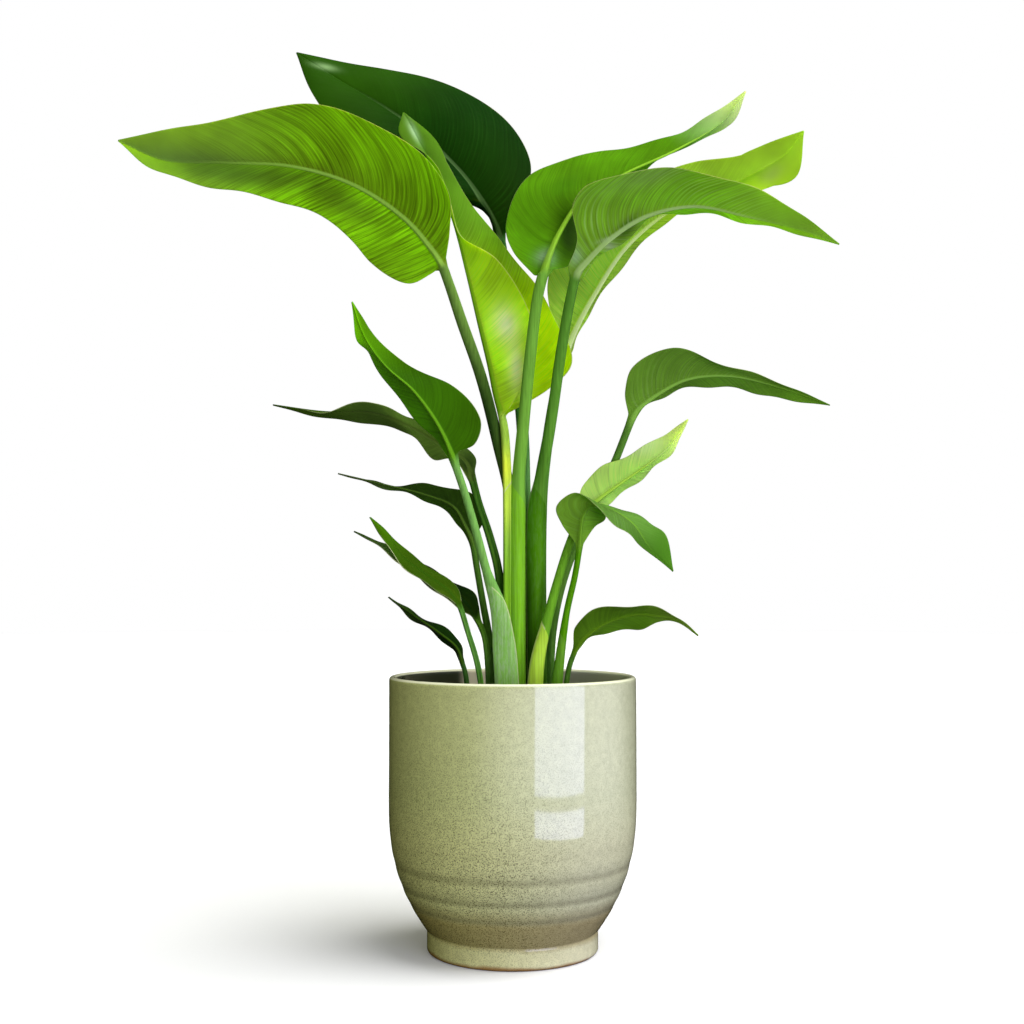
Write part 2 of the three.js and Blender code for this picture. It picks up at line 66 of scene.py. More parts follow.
# Places shared by the pieces, as in the part's source
POT_HEIGHT = 262
POT_RADIUS = 120
POT_WALL = 7
POT_FLOOR = 10
FOOT_RADIUS = 82.5
FOOT_HEIGHT = 17
FOOT_EDGE = 3
FOOT_GROOVE = 0.7
BELLY_START_RADIUS = 84
BELLY_START = 22
BELLY_TOP = 142
BELLY_CURVE = 2.4
RIDGE_HOLLOWS = (31, 47.5, 64.5, 86, 108, 130)
GROW_POT_FLOOR = 10.3
GROW_POT_BASE_RADIUS = 68
GROW_POT_TOP_RADIUS = 98
GROW_POT_HEIGHT = 224
GROW_POT_WALL = 2
GROW_POT_LIP = 4
GROW_POT_LIP_DEPTH = 14
SOIL_TOP = 222
PETIOLE_TURN = 3
WAVE_LENGTH = 74
FOLD_ARCH = 0.13
TIP_HALF_WIDTH = 0.8
# How finely the pieces are made: steps round each turned one, then rows along a leaf and columns round it
POT_STEPS = 160
GROW_POT_STEPS = 96
SOIL_STEPS = 180
TALL_GRID = (300, 112)
SHORT_GRID = (170, 64)
# Bark lies this far out from the middle
BARK_REACH = 88
BARK_SEED = 5

# The photograph's camera: its distance and height, its upward tilt and its focal length in frame widths
CAMERA_PLACE = (-0.6, -1350, 351)
CAMERA_TILT = 3.0
FOCAL_SHARE = 1378 / 1024
SENSOR_WIDTH = 36
VIEW_END = 60
FLOOR_RADIUS = 9

# Where the light comes from: the bright side of the room, and the way the high light shines
BRIGHT_SIDE = (0.7, -0.7, 0.1)
GLEAM_SIDE = (0.7, -0.7, 0.0)
KEY_WAY = (-0.4, 0.1, -0.91)
WINDOW_TINT = (0.6, 0.63, 1.0)
DAYLIGHT = (0.97, 0.98, 1.2, 1)
DARK_SIDE_TINT = (1.0, 1.02, 0.62, 1)
FILL_TINT = (0.92, 0.95, 1.42)
KEY_ANGLE = 50
# What the blade does to the light that it lets through, in red, green and blue
BLADE_FILTER = (2.1, 1.85, 0.8)
# The lamps: place, target, width and height in millimetres, watts, tint, and what sees them
LAMPS = {
    "upper_pane": ((169, -241, 283), (44, -85, 283), 208, 296, 1.1, WINDOW_TINT, "GLOSS"),
    "lower_pane": ((169, -241, 97), (44, -85, 97), 208, 46, 0.19, WINDOW_TINT, "GLOSS"),
    "front_fill": ((700, -1400, 150), (0, 0, 260), 900, 500, 10.5, FILL_TINT, "MATT"),
}


def linear(code):
    """An sRGB hex colour as linear red, green, blue and alpha."""
    parts = [((code >> shift) & 255) / 255 for shift in (16, 8, 0)]
    return tuple(c / 12.92 if c <= 0.04045 else ((c + 0.055) / 1.055) ** 2.4 for c in parts) + (1.0,)


# Each leaf gives the stations of its petiole as (x, y, z, half width, half depth), points along the
# midrib to the tip, and the left and right edge of the blade beside all of those but the tip.
# The arch is how far each half of the blade bows up, as a share of its width.
LEAVES = {
    "leaf_upper_left": {
        "arch": 0.07,
        "stalk": [
            (2, 17, 192, 6.5, 6.5), (2, 17, 238, 6.5, 6.5), (-2, 15, 434, 6, 6), (-14, 13, 489, 5.8, 5.8),
            (-31, 5, 555, 5.6, 5.6), (-50, -4, 609, 5.4, 5.4), (-63, -10, 647, 4.8, 4.8),
        ],
        "rib": [
            (-70, -12, 665), (-80, -14, 680), (-105, -19, 708), (-155, -26, 740), (-213, -36, 755),
            (-276, -48, 755), (-332, -60, 754), (-372, -70, 769),
        ],
        "left": [
            (-65, -15, 671), (-61, -28, 695), (-63, -53, 731), (-110, -70, 774), (-192, -80, 801),
            (-263, -82, 787), (-333, -76, 776),
        ],
        "right": [
            (-76, -9, 658), (-103, 0, 648), (-142, 11, 672), (-177, 12, 710), (-236, 4, 733),
            (-299, -16, 741), (-348, -46, 750),
        ],
    },
    "leaf_top_back": {
        "arch": 0.08,
        "stalk": [
            (15, 23, 192, 6.5, 6.5), (15, 23, 238, 6.5, 6.5), (12, 22, 435, 6.2, 6.2), (10, 28, 506, 6, 6),
            (4, 42, 569, 5.6, 5.6), (-3, 62, 645, 5, 5), (-9, 76, 694, 4.4, 4.4),
        ],
        "rib": [
            (-13, 82, 715), (-23, 86, 740), (-47, 92, 778), (-67, 96, 802), (-98, 103, 834),
            (-139, 113, 866), (-190, 126, 901), (-238, 140, 936),
        ],
        "left": [
            (-19, 85, 715), (-27, 108, 747), (-70, 70, 755), (-92, 64, 761), (-130, 65, 780),
            (-173, 77, 819), (-215, 106, 877),
        ],
        "right": [
            (-7, 85, 721), (11, 100, 756), (19.5, 124, 808), (0.5, 132, 849), (-44, 141, 888),
            (-102, 145, 912), (-171, 144, 924),
        ],
    },
    "leaf_upper_right": {
        "arch": 0.08,
        "stalk": [
            (5, 0, 192, 8, 7.5), (5, 0, 238, 8, 7.5), (5, 0, 429, 7.8, 7.3), (6, 0, 456, 6.6, 6.6),
            (11, -2, 512, 5.8, 5.8), (18, -6, 581, 5.7, 5.7), (25, -8, 635, 5.4, 5.4),
        ],
        "rib": [
            (32, -8, 662), (38, -7, 679), (48, -2, 701), (70, 8, 735), (114, 22, 765), (167, 33, 793),
            (215, 42, 825), (240, 45, 858),
        ],
        "left": [
            (41, 0, 662), (54, 17, 669), (72, 46, 688), (98, 64, 717), (125, 68, 769), (167, 63, 800),
            (223, 56, 825),
        ],
        "right": [
            (23, -5, 653), (0, 8, 683), (-7, 26, 717), (21, 44, 773), (91, 58, 799), (158, 61, 814),
            (207, 56, 838),
        ],
    },
    "leaf_front_right": {
        "arch": 0.07,
        "stalk": [
            (24, 3, 192, 10, 8), (24, 3, 238, 10, 8), (24, 3, 422, 10, 8), (28, 2, 455, 6.2, 6.2),
            (38, 0, 512, 5.4, 5.4), (48, -4, 581, 5.3, 5.3), (57, -7, 632, 5, 5),
        ],
        "rib": [
            (63, -8, 655), (72, -10, 667), (94, -15, 688), (130, -22, 710), (176, -33, 717), (226, -46, 703),
            (275, -56, 687), (309, -62, 672),
        ],
        "left": [
            (70, -4, 653), (84, 8, 676), (106, 23, 690), (139, 24, 719), (181, 9, 721), (228, -20, 704),
            (275, -47, 685),
        ],
        "right": [
            (54, -8, 662), (63, -18, 686), (58, -37, 718), (76, -58, 732), (143, -71, 742), (222, -68, 727),
            (272, -64, 701),
        ],
    },
    "leaf_young_folded": {
        "arch": 0.1,
        "stalk": [
            (-5, -1, 192, 4.6, 5.2), (-5, -1, 238, 4.6, 5.2), (-5, -1, 433, 4.5, 4.8),
            (-6, 1, 473, 4.3, 4.3), (-8, 5, 503, 4.2, 4.2),
        ],
        "rib": [
            (-11, 9, 521), (-16, 13, 540), (-22, 19, 569), (-33, 28, 615), (-45, 37, 666), (-58, 45, 716),
            (-78, 51, 771), (-100, 55, 815), (-113, 57, 840),
        ],
        "left": [
            (-4, 6, 523), (11, 5, 550), (22, 9, 587), (14, 18, 630), (-16, 27, 679), (-55, 37, 709),
            (-74, 42, 775), (-110, 45, 810),
        ],
        "right": [
            (-3, 12, 521), (38, 25, 548), (60, 35, 574), (46, 54, 620), (19, 65, 668), (-17, 65, 712),
            (-60, 59, 772), (-82, 59, 813),
        ],
    },
    "leaf_back_right": {
        "arch": 0.07,
        "stalk": [
            (28, 25, 192, 6, 6), (28, 25, 238, 6, 6), (29, 26, 435, 5.8, 5.8), (34, 32, 486, 5.6, 5.6),
            (41, 41, 533, 5.2, 5.2), (48, 50, 568, 4.8, 4.8),
        ],
        "rib": [
            (56, 56, 591), (64, 59, 611), (84, 66, 649), (120, 76, 704), (173, 87, 749), (227, 95, 773),
            (261, 99, 791), (290, 102, 809), (312, 104, 836),
        ],
        "left": [
            (62, 61, 591), (68, 73, 611), (91, 96, 652), (131, 114, 707), (185, 125, 755), (243, 125, 767),
            (280, 119, 780), (305, 112, 793),
        ],
        "right": [
            (49, 55, 591), (39, 61, 630), (38, 72, 674), (69, 76, 730), (134, 83, 772), (193, 97, 801),
            (242, 105, 809), (281, 107, 825),
        ],
    },
    "leaf_mid_left": {
        "arch": 0.04,
        "stalk": [
            (-5, -14, 192, 12, 3), (-5, -14, 238, 12, 3), (-8, -14, 288, 11.5, 3), (-13, -15, 326, 8.5, 3.2),
            (-25, -19, 363, 4.3, 4.3), (-34, -24, 397, 4, 4), (-45.5, -32, 437, 3.7, 3.7),
        ],
        "rib": [
            (-57, -39, 471), (-63, -42, 487), (-75, -46, 509), (-95, -52, 535), (-120, -57, 557),
            (-139, -62, 583), (-151, -66, 616),
        ],
        "left": [
            (-52, -37, 478), (-37, -32, 485), (-30, -28, 508), (-59, -30, 543), (-104, -43, 562),
            (-135, -57, 593),
        ],
        "right": [
            (-62, -37, 472), (-71, -28, 485), (-88, -22, 504), (-114, -28, 534), (-136, -39, 568),
            (-147, -54, 582),
        ],
    },
    "leaf_mid_left_back": {
        "arch": 0.04,
        "stalk": [
            (-11, 12, 192, 4.2, 4.2), (-11, 12, 238, 4.2, 4.2), (-13, 11, 357, 4.2, 4.2),
            (-22, 7, 396, 4, 4), (-33.5, 4, 431, 3.8, 3.8),
        ],
        "rib": [
            (-40, 2, 455), (-46, 3, 471), (-72, 6, 489), (-104, 10, 508), (-142, 16, 522), (-188, 22, 523),
            (-241, 28, 531),
        ],
        "left": [
            (-44, 1, 454), (-57, -5, 472), (-76, -6, 473), (-100, 6, 497), (-142, 28, 512), (-187, 27, 517),
        ],
        "right": [
            (-37, 2, 462), (-37, 11, 476), (-63, 20, 501), (-103, 19, 518), (-143, 7, 532), (-188, 18, 523),
        ],
    },
    "leaf_left_dark": {
        "arch": 0.04,
        "stalk": [
            (-18, 21, 192, 4, 4), (-18, 21, 238, 4, 4), (-23, 21, 296, 3.8, 3.8), (-29, 18, 330, 3.4, 3.4),
            (-35, 15, 365, 3.2, 3.2),
        ],
        "rib": [
            (-40, 12, 393), (-47, 14, 409), (-59, 18, 428), (-89, 26, 441), (-128, 35, 451), (-177, 44, 463),
        ],
        "left": [
            (-36, 15, 400), (-29, 27, 416), (-42, 37, 442), (-83, 46, 452), (-126, 44, 452),
        ],
        "right": [
            (-44, 14, 394), (-52, 25, 408), (-67, 36, 423), (-93, 42, 438), (-129, 43, 448),
        ],
    },
    "leaf_lower_left_front": {
        "arch": 0.04,
        "stalk": [
            (-28, -44, 192, 2.8, 2.8), (-28, -44, 238, 2.8, 2.8), (-33, -46, 275, 2.8, 2.8),
            (-42, -50, 306, 2.6, 2.6),
        ],
        "rib": [
            (-50, -54, 331), (-58, -56, 344), (-77, -61, 358), (-101, -68, 376), (-116, -73, 397),
            (-132, -76, 413),
        ],
        "left": [
            (-53, -55, 332), (-64, -62, 341), (-82, -70, 352), (-105, -75, 371), (-122, -76, 395),
        ],
        "right": [
            (-48, -53, 334), (-50, -51, 345), (-70, -52, 362), (-95, -61, 379), (-113, -70, 397),
        ],
    },
    "leaf_lower_left_back": {
        "arch": 0.04,
        "stalk": [
            (-20, 2, 192, 6, 4.5), (-20, 2, 238, 6, 4.5), (-27, -3, 299, 3, 3),
        ],
        "rib": [
            (-36, -7, 320), (-45, -4, 335), (-71, 2, 351), (-106, 12, 374), (-135, 22, 393), (-159, 30, 404),
        ],
        "left": [
            (-40, -9, 320), (-52, -11, 327), (-75, -7, 344), (-108, 5, 369), (-136, 19, 390),
        ],
        "right": [
            (-32, -5, 327), (-37, 4, 341), (-66, 12, 358), (-104, 19, 379), (-134, 25, 394),
        ],
    },
    "leaf_lowest_left": {
        "arch": 0.04,
        "stalk": [
            (-42, -34, 192, 2.6, 2.6), (-42, -34, 238, 2.6, 2.6), (-45, -36, 267, 2.4, 2.4),
        ],
        "rib": [
            (-48, -38, 277), (-53, -41, 291), (-70, -47, 306), (-93, -54, 322), (-116, -60, 339),
        ],
        "left": [
            (-47, -36, 283), (-49, -31, 296), (-66, -33, 310), (-91, -46, 323),
        ],
        "right": [
            (-51, -36, 279), (-58, -35, 290), (-76, -39, 305), (-97, -48, 320),
        ],
    },
    "leaf_mid_right": {
        "arch": 0.04,
        "stalk": [
            (36, 15.5, 192, 4.5, 4.5), (36, 15.5, 238, 4.5, 4.5), (40, 15, 311, 4.4, 4.4),
            (55, 19, 370, 4.2, 4.2), (82, 28, 427, 4.1, 4.1), (105, 34, 479, 3.8, 3.8),
        ],
        "rib": [
            (120, 36, 516), (127, 38, 528), (146, 41, 543), (179, 46, 560), (225, 52, 564), (280, 60, 552),
            (328, 66, 536),
        ],
        "left": [
            (125, 39, 519), (136, 51, 533), (157, 67, 545), (189, 76, 556), (233, 76, 554), (281, 70, 542),
        ],
        "right": [
            (117, 36, 523), (113, 30, 544), (119, 21, 566), (159, 19, 588), (203, 32, 576), (272, 53, 558),
        ],
    },
    "leaf_small_right": {
        "arch": 0.04,
        "stalk": [
            (21, -22, 192, 8, 5), (21, -22, 238, 8, 5), (24, -22, 278, 7, 5), (33.5, -21, 317, 5, 4.8),
            (44, -18, 355, 4.4, 4.4), (55, -13, 389, 4.2, 4.2),
        ],
        "rib": [
            (68, -8, 418), (82, -6, 432), (105, 0, 449), (132, 8, 468), (157, 14, 489), (175, 18, 515),
        ],
        "left": [
            (75, -4, 420), (92, 5, 428), (117, 21, 447), (142, 30, 467), (162, 26, 486),
        ],
        "right": [
            (63, -6, 426), (69, 2, 448), (88, 16, 467), (121, 26, 483), (152, 24, 501),
        ],
    },
    "leaf_twisted_right": {
        "arch": 0.04,
        "stalk": [
            (41.5, -14, 192, 6, 4.5), (41.5, -14, 238, 6, 4.5), (51.5, -20, 321, 3.2, 3.2),
            (60, -26, 360, 2.9, 2.9),
        ],
        "rib": [
            (64, -30, 387), (65, -30, 401), (68, -28, 417), (77, -24, 427), (94, -28, 423), (114, -38, 409),
            (131, -50, 383), (150, -60, 363),
        ],
        "left": [
            (68, -28, 390), (79, -24, 406), (91, -12, 414), (93, -2, 428), (109, -8, 422), (131, -23, 412),
            (146, -41, 396),
        ],
        "right": [
            (60, -29, 391), (47, -26, 409), (42, -24, 425), (60, -32, 439), (80, -50, 422), (99, -57, 405),
            (117, -59, 390),
        ],
    },
    "leaf_lowest_right": {
        "arch": 0.04,
        "stalk": [
            (51, -2, 192, 2.8, 2.8), (51, -2, 238, 2.8, 2.8), (55, -3, 270, 2.6, 2.6),
        ],
        "rib": [
            (60, -4, 284), (67, -8, 296), (85, -16, 311), (115, -29, 322), (138, -41, 321), (157, -48, 317),
            (174, -54, 303),
        ],
        "left": [
            (64, -1, 287), (74, 1, 297), (92, 0, 304), (121, -12, 307), (138, -33, 314), (156, -46, 315),
        ],
        "right": [
            (59, -4, 291), (60, -15, 309), (74, -32, 325), (114, -46, 331), (139, -49, 328), (157, -50, 319),
        ],
    },
}

# Each leaf's upper face, lower face, both near the tip, midrib, petiole and sheath, then how much light
# the blade lets through, how strongly its veins show, the height of its sheath's mouth, and how far
# along the blade the colour of the tip begins. The pale tip of leaf_upper_right is a painted highlight,
# the grey tip of leaf_upper_left a painted sheen, and the pale midrib of leaf_back_right a painted
# highlight along its keel
LEAF_COLOURS = {
    "leaf_upper_left": (0x6CA808, 0x95B520, 0x96B956, 0xA0D050, 0x698E39, 0x3E6A1A, 0.62, 0.85, 425, 0.45),
    "leaf_top_back": (0x093405, 0x1E5008, 0x285507, 0x4D6C3A, 0x3E7A34, 0x3E6A1A, 0.05, 0.22, 430, 0.4),
    "leaf_upper_right": (0x50A000, 0x70B014, 0xE4F6BC, 0xA4DC3C, 0x74AD3A, 0x7CBD23, 0.4, 0.15, 440, 0.66),
    "leaf_front_right": (0x549408, 0x94BE34, 0x90BA3F, 0xB6D780, 0x588F2C, 0x417D05, 0.45, 0.6, 440, 0.45),
    "leaf_young_folded": (0xBCDE0A, 0xBCD72C, 0x78A82C, 0x629F0D, 0xA4CF45, 0x8CC03C, 0.6, 0.2, 446, 0.5),
    "leaf_back_right": (0x7CB40C, 0xBEDB58, 0xAFD240, 0xE1F2A8, 0x589030, 0x4C7C18, 0.6, 0.45, 430, 0.3),
    "leaf_mid_left": (0x2C5600, 0x366905, 0x60A307, 0x659F1B, 0x7AB252, 0x84BC52, 0.1, 0.25, 348, 0.5),
    "leaf_mid_left_back": (0x527026, 0x567E10, 0x3E5C10, 0x485E21, 0x305D19, 0x3A6420, 0.2, 0.3, 330, 0.5),
    "leaf_left_dark": (0x1E4206, 0x2C4D0D, 0x3A4A20, 0x5A7E28, 0x4A7926, 0x3A6A20, 0.1, 0.2, 290, 0.5),
    "leaf_lower_left_front": (0x325206, 0x365806, 0x427306, 0x2B5107, 0x4A7E30, 0x4A7E24, 0.1, 0.15, 262, 0.5),
    "leaf_lower_left_back": (0x0B2205, 0x102606, 0x3E5A20, 0x0E2605, 0x315A0F, 0x3A6420, 0.05, 0.15, 280, 0.5),
    "leaf_lowest_left": (0x143004, 0x0D2805, 0x2E4A14, 0x37590E, 0x345E24, 0x3A6420, 0.05, 0.15, 256, 0.5),
    "leaf_mid_right": (0x447C12, 0x71A02F, 0x679725, 0x8ABC49, 0x53802D, 0x467624, 0.25, 0.3, 330, 0.5),
    "leaf_small_right": (0x9CCC3C, 0xC6E17E, 0xD6E8A6, 0x9BCA33, 0x65A025, 0xB0D83C, 0.5, 0.2, 308, 0.5),
    "leaf_twisted_right": (0x659139, 0x84B834, 0x4A7E1E, 0x74A82A, 0x4D9009, 0x5E9620, 0.3, 0.25, 300, 0.5),
    "leaf_lowest_right": (0x4A800A, 0x68971F, 0x6A8C28, 0x689418, 0x4A7A24, 0x4E7E20, 0.25, 0.25, 262, 0.5),
}
# Leaves with a tip rounder than a straight taper: where along the blade the rounding starts, and the
# most that it widens the left and the right half
BLUNT_TIPS = {
    "leaf_young_folded": (0.80, 1.7, 1.1), "leaf_back_right": (0.76, 1.12, 1.12),
    "leaf_upper_right": (0.86, 1.5, 1.01),
}
# Leaves whose margins wave less than the others
CALM_MARGINS = {"leaf_top_back": 0.25}
# Painted highlights and painted shade on blades and stalks, with a few paler or darker places of a leaf's own
# colour: centre (x, z), half sizes, turn in degrees, strength and colour
LIGHT_SHADE_AND_TONE_PATCHES = {
    "leaf_young_folded": (
        (-6, 612, 13, 20, 15, 0.75, 0xEEF8C8),
        (5, 566, 9, 26, 5, 0.75, 0xEEF8C8),
        (-102, 818, 4, 14, 25, 0.7, 0xC4E4B4),
        (-7, 464, 8, 18, 0, 0.8, 0xF4FF40),
        (-5, 428, 8, 24, 0, 0.7, 0xDCF850),
        (-5, 338, 8, 44, 0, 0.8, 0x78B018),
    ),
    "leaf_upper_left": (
        (-255, 750, 85, 9, -3, 0.55, 0x48741C),
        (-165, 726, 42, 11, -24, 0.5, 0x4C7A18),
        (-23, 515, 22, 86, 0, 0.9, 0x203E12),
    ),
    "leaf_top_back": (
        (-206, 917, 13, 4, -14, 0.65, 0xA4CC84),
        (17, 440, 8, 44, 0, 0.85, 0x8CD070),
        (30, 760, 60, 60, 0, 0.5, 0x0C3000),
    ),
    "leaf_upper_right": (
        (55, 704, 15, 38, 0, 0.9, 0x0A3400),
        (32, 674, 9, 8, 0, 0.7, 0xB4D8A8),
        (52, 756, 26, 15, 25, 0.5, 0x2C6C06),
    ),
    "leaf_front_right": (
        (113, 703, 15, 5, 38, 0.75, 0x245C0C),
        (95, 688, 11, 2.5, 12, 0.85, 0xBCD498),
        (128, 738, 45, 7, 12, 0.4, 0x94BC6C),
        (62, 672, 7, 9, 0, 0.6, 0xA8CC9C),
        (14, 322, 6, 66, 0, 0.85, 0x0C2200),
        (20, 268, 14, 34, 0, 0.7, 0x142C00),
        (28, 470, 8, 34, 0, 0.45, 0x2C5410),
    ),
    "leaf_back_right": (
        (278, 790, 14, 8, 30, 0.4, 0xD0E880),
    ),
    "leaf_small_right": (
        (125, 492, 22, 16, 0, 0.9, 0xD4F09C),
    ),
    "leaf_mid_left_back": (
        (-43, 470, 13, 16, 0, 0.9, 0x14260A),
    ),
    "leaf_lower_left_back": (
        (-28, 286, 8, 18, 0, 0.6, 0x548430),
    ),
}
# Leaves whose side veins are paler than the blade
PALE_VEINS = {
    "leaf_front_right": 0xB8D48C, "leaf_back_right": 0xD4F08C, "leaf_mid_right": 0x98B868,
    "leaf_twisted_right": 0x9CC87C, "leaf_top_back": 0x2C6418, "leaf_young_folded": 0xD0E870,
}
# Sheaths whose cream edge shows: along the mouth, and down which side (-1 left, 1 right)
SHEATH_EDGES = {
    "leaf_young_folded": (0.8, 0, 0.0), "leaf_front_right": (0.0, -1, 0.4),
    "leaf_mid_left": (0.85, 1, 0.85), "leaf_small_right": (0.6, -1, 0.6),
}
# How much scurf lies on a broad old sheath
SCURFED = {"leaf_mid_left": 0.7}
# Painted light and shade: leaves whose one half is drawn lighter or darker than the other, as light falls on
# them: how bright the left and the right one are
PAINTED_HALF_SHADE = {
    "leaf_upper_left": (0.92, 1.31), "leaf_top_back": (0.80, 1.00),
    "leaf_front_right": (1.15, 1.00), "leaf_back_right": (1.00, 0.95),
    "leaf_mid_left": (0.81, 2.54), "leaf_mid_left_back": (0.89, 1.21),
    "leaf_left_dark": (0.76, 2.54), "leaf_mid_right": (1.25, 0.96),
    "leaf_small_right": (1.16, 0.98), "leaf_twisted_right": (1.25, 0.90),
    "leaf_lowest_right": (1.18, 0.93),
}
# How much sooner the tip's colour begins on the upper face
UPPER_LEADS = {"leaf_young_folded": 0.24}
# Pale margins wider than the others, in millimetres
WIDE_MARGINS = {"leaf_young_folded": 1.3, "leaf_front_right": 1.0}
# The tall leaves, which have the finer grid
TALL = (
    "leaf_upper_left", "leaf_top_back", "leaf_upper_right",
    "leaf_front_right", "leaf_young_folded", "leaf_back_right",
)


# Settings

def length(name, description, default, low=0.0, high=1.0):
    return FloatProperty(
        name=name, description=description, default=default * MM, min=low, max=high,
        unit="LENGTH", precision=4,
    )


def colour(name, description, code):
    return FloatVectorProperty(
        name=name, description=description, default=linear(code), size=4, subtype="COLOR", min=0, max=1,
    )


def share(name, description, default):
    return FloatProperty(name=name, description=description, default=default, min=0, max=1, subtype="FACTOR")


class PotSettings(bpy.types.PropertyGroup):
    """Sizes and glaze of the pot"""

    ridge_depth: length("Ridge depth", "How far the throwing ridges stand out", 0.24)
    speck: length("Speck size", "Across one iron speck in the glaze", 1.0)
    glaze: colour("Glaze", "Glaze where it lies thick, on the upper half", 0xCFD4A4)
    glaze_thin: colour("Thin glaze", "Glaze where it lies thinner, on the lower half", 0xDCDDAC)
    glaze_band: colour("Iron band", "Where the clay's iron shows through, above the foot", 0xBEB27C)
    glaze_hollow: colour("Hollows", "Thin glaze in the hollows between the ridges", 0x9C9A76)
    # Painted light and shade: the glaze is tinted warmer on the shaded left and bluer on the lit right
    pool: colour("Pooled glaze", "What the glaze takes on where it ran together, on the left", 0xFFFFD1)
    lit_side_tint: colour("Thinned glaze", "What the glaze takes on, on the right", 0xECE9F2)
    foot: colour("Foot", "Glaze on the foot", 0xEAE8B6)
    specks: colour("Specks", "Iron specks in the glaze", 0x4C4626)
    # Painted highlight: the pale lip stands for the light caught along the rim's top
    lip: colour("Lip", "Glaze drawn thin over the lip", 0xF2F2CC)
    # Painted shade and painted light on the inner wall: dark on the left, light on the right, and a painted
    # patch of light at the back
    inside: colour("Inside", "Glaze on the inner wall, on the left", 0x363A28)
    lit_inside_right: colour("Inside right", "Glaze on the inner wall, on the right", 0xDCDEC0)
    painted_light_inside: colour("Thin inside", "Where the inner glaze is thin, at the back", 0xFAF0CC)
    clay: colour("Clay", "Bare clay at the very bottom", 0xB08A5A)


class SoilSettings(bpy.types.PropertyGroup):
    """Nursery pot and potting soil"""

    crumb: length("Crumb size", "Across a large crumb of peat", 4.0)
    chips: IntProperty(
        name="Bark chips", description="Pieces of bark on the soil", default=190, min=0, max=600,
    )
    chip: length("Bark size", "Longest side of a piece of bark", 11.0)
    peat: colour("Peat", "Damp peat", 0x3A2A1C)
    bark: colour("Bark", "Composted bark", 0x6B4A2E)
    plastic: colour("Plastic", "Nursery pot", 0x5A4A3C)


class LeafSettings(bpy.types.PropertyGroup):
    """What all the leaves share"""

    thickness: length("Blade thickness", "Through the blade between its veins", 0.8)
    vein_spacing: length("Vein spacing", "From one main side vein to the next", 5.0)
    pleat: length("Pleat depth", "How far the blade is pleated along its side veins", 0.16)
    wave: length("Wave", "How far the margins wave up and down", 1.6)
    margin: colour("Margin", "Pale, tough margin", 0xCDD694)
    scurf: colour("Scurf", "Grey scurf on old sheaths", 0xA8C090)
    sheen: colour("Sheen", "What the cuticle reflects", 0xE0FF30)
    channel: share("Petiole channel", "Depth of the groove on the upper side of a petiole", 0.4)


class LeafPatch(bpy.types.PropertyGroup):
    """A painted highlight, painted shade or a paler or darker place of the leaf's own colour, on a blade or
    stalk
    """

    x: length("X", "Centre, sideways", 0, -1)
    z: length("Z", "Centre, upwards", 0, -1)
    half_width: length("Half width", "From the centre to where the patch has faded", 10)
    half_height: length("Half height", "From the centre to where the patch has faded", 10)
    turn: FloatProperty(name="Turn", description="How far the patch is turned", default=0, subtype="ANGLE")
    strength: share("Strength", "How strongly the patch shows", 0.8)
    colour: colour("Colour", "Colour of the patch", 0xFFFFFF)


class LeafLook(bpy.types.PropertyGroup):
    """Colours of one leaf"""

    upper: colour("Upper face", "Upper face of the blade", 0x3C7A0C)
    lower: colour("Lower face", "Lower face of the blade", 0x5F9608)
    tip: colour("Tip", "Both faces near the tip", 0x5F8E1C)
    rib: colour("Midrib", "Midrib, paler than the blade", 0x8DB45C)
    petiole: colour("Petiole", "Petiole above its sheath", 0x4A6C2C)
    sheath: colour("Sheath", "Sheath round the petiole's foot", 0x3E6A1A)
    glow: share("Glow", "Share of the light that the blade lets through", 0.3)
    veining: share("Veining", "How strongly the side veins show", 0.5)
    mouth: length("Sheath mouth", "Height at which the sheath opens", 430)
    vein: colour("Veins", "Side veins", 0x2C5A08)
    patches: CollectionProperty(type=LeafPatch)
    margin_width: length("Margin width", "Width of the pale margin", 0.7)
    scurfed: share("Scurfed", "How much grey scurf lies on the sheath", 0.2)
    brim: share("Brim", "How far the cream edge shows along the sheath's mouth", 0.0)
    sheath_edge: share("Sheath edge", "How far the cream edge shows down the side of the sheath", 0.0)
    edge_side: IntProperty(
        name="Edge side", description="Side of the sheath that the edge is on, -1 left and 1 right",
        default=0, min=-1, max=1,
    )
    lead: share("Upper lead", "How much sooner the tip's colour begins on the upper face", 0.0)
    # Painted light and shade: how bright each half of the blade is drawn
    left_half_shade: FloatProperty(name="Left tone", description="Brightness of the left half", default=1, min=0)
    right_half_shade: FloatProperty(name="Right tone", description="Brightness of the right half", default=1, min=0)
    tip_from: share("Tip from", "How far along the blade the colour of the tip begins", 0.45)


class StageSettings(bpy.types.PropertyGroup):
    """Plain studio"""

    floor: colour("Floor", "Pale floor", 0xF4F4F4)
    bounce: colour("Bounce", "What the floor throws back at the plant", 0x707070)
    gleam: FloatProperty(
        name="Gleam", description="The floor's light in reflections, on the right", default=2.6, min=0,
    )
    room: FloatProperty(name="Room light", description="Light from the bright side", default=1.15, min=0)
    dark_side: FloatProperty(name="Dark side", description="Light from the dark side", default=0.06, min=0)
    key: FloatProperty(name="Key light", description="Strength of the high soft light", default=3.0, min=0)


class PlantSettings(bpy.types.PropertyGroup):
    """Everything about the plant"""

    pot: PointerProperty(type=PotSettings)
    soil: PointerProperty(type=SoilSettings)
    leaf: PointerProperty(type=LeafSettings)
    looks: CollectionProperty(type=LeafLook)
    stage: PointerProperty(type=StageSettings)


# Materials

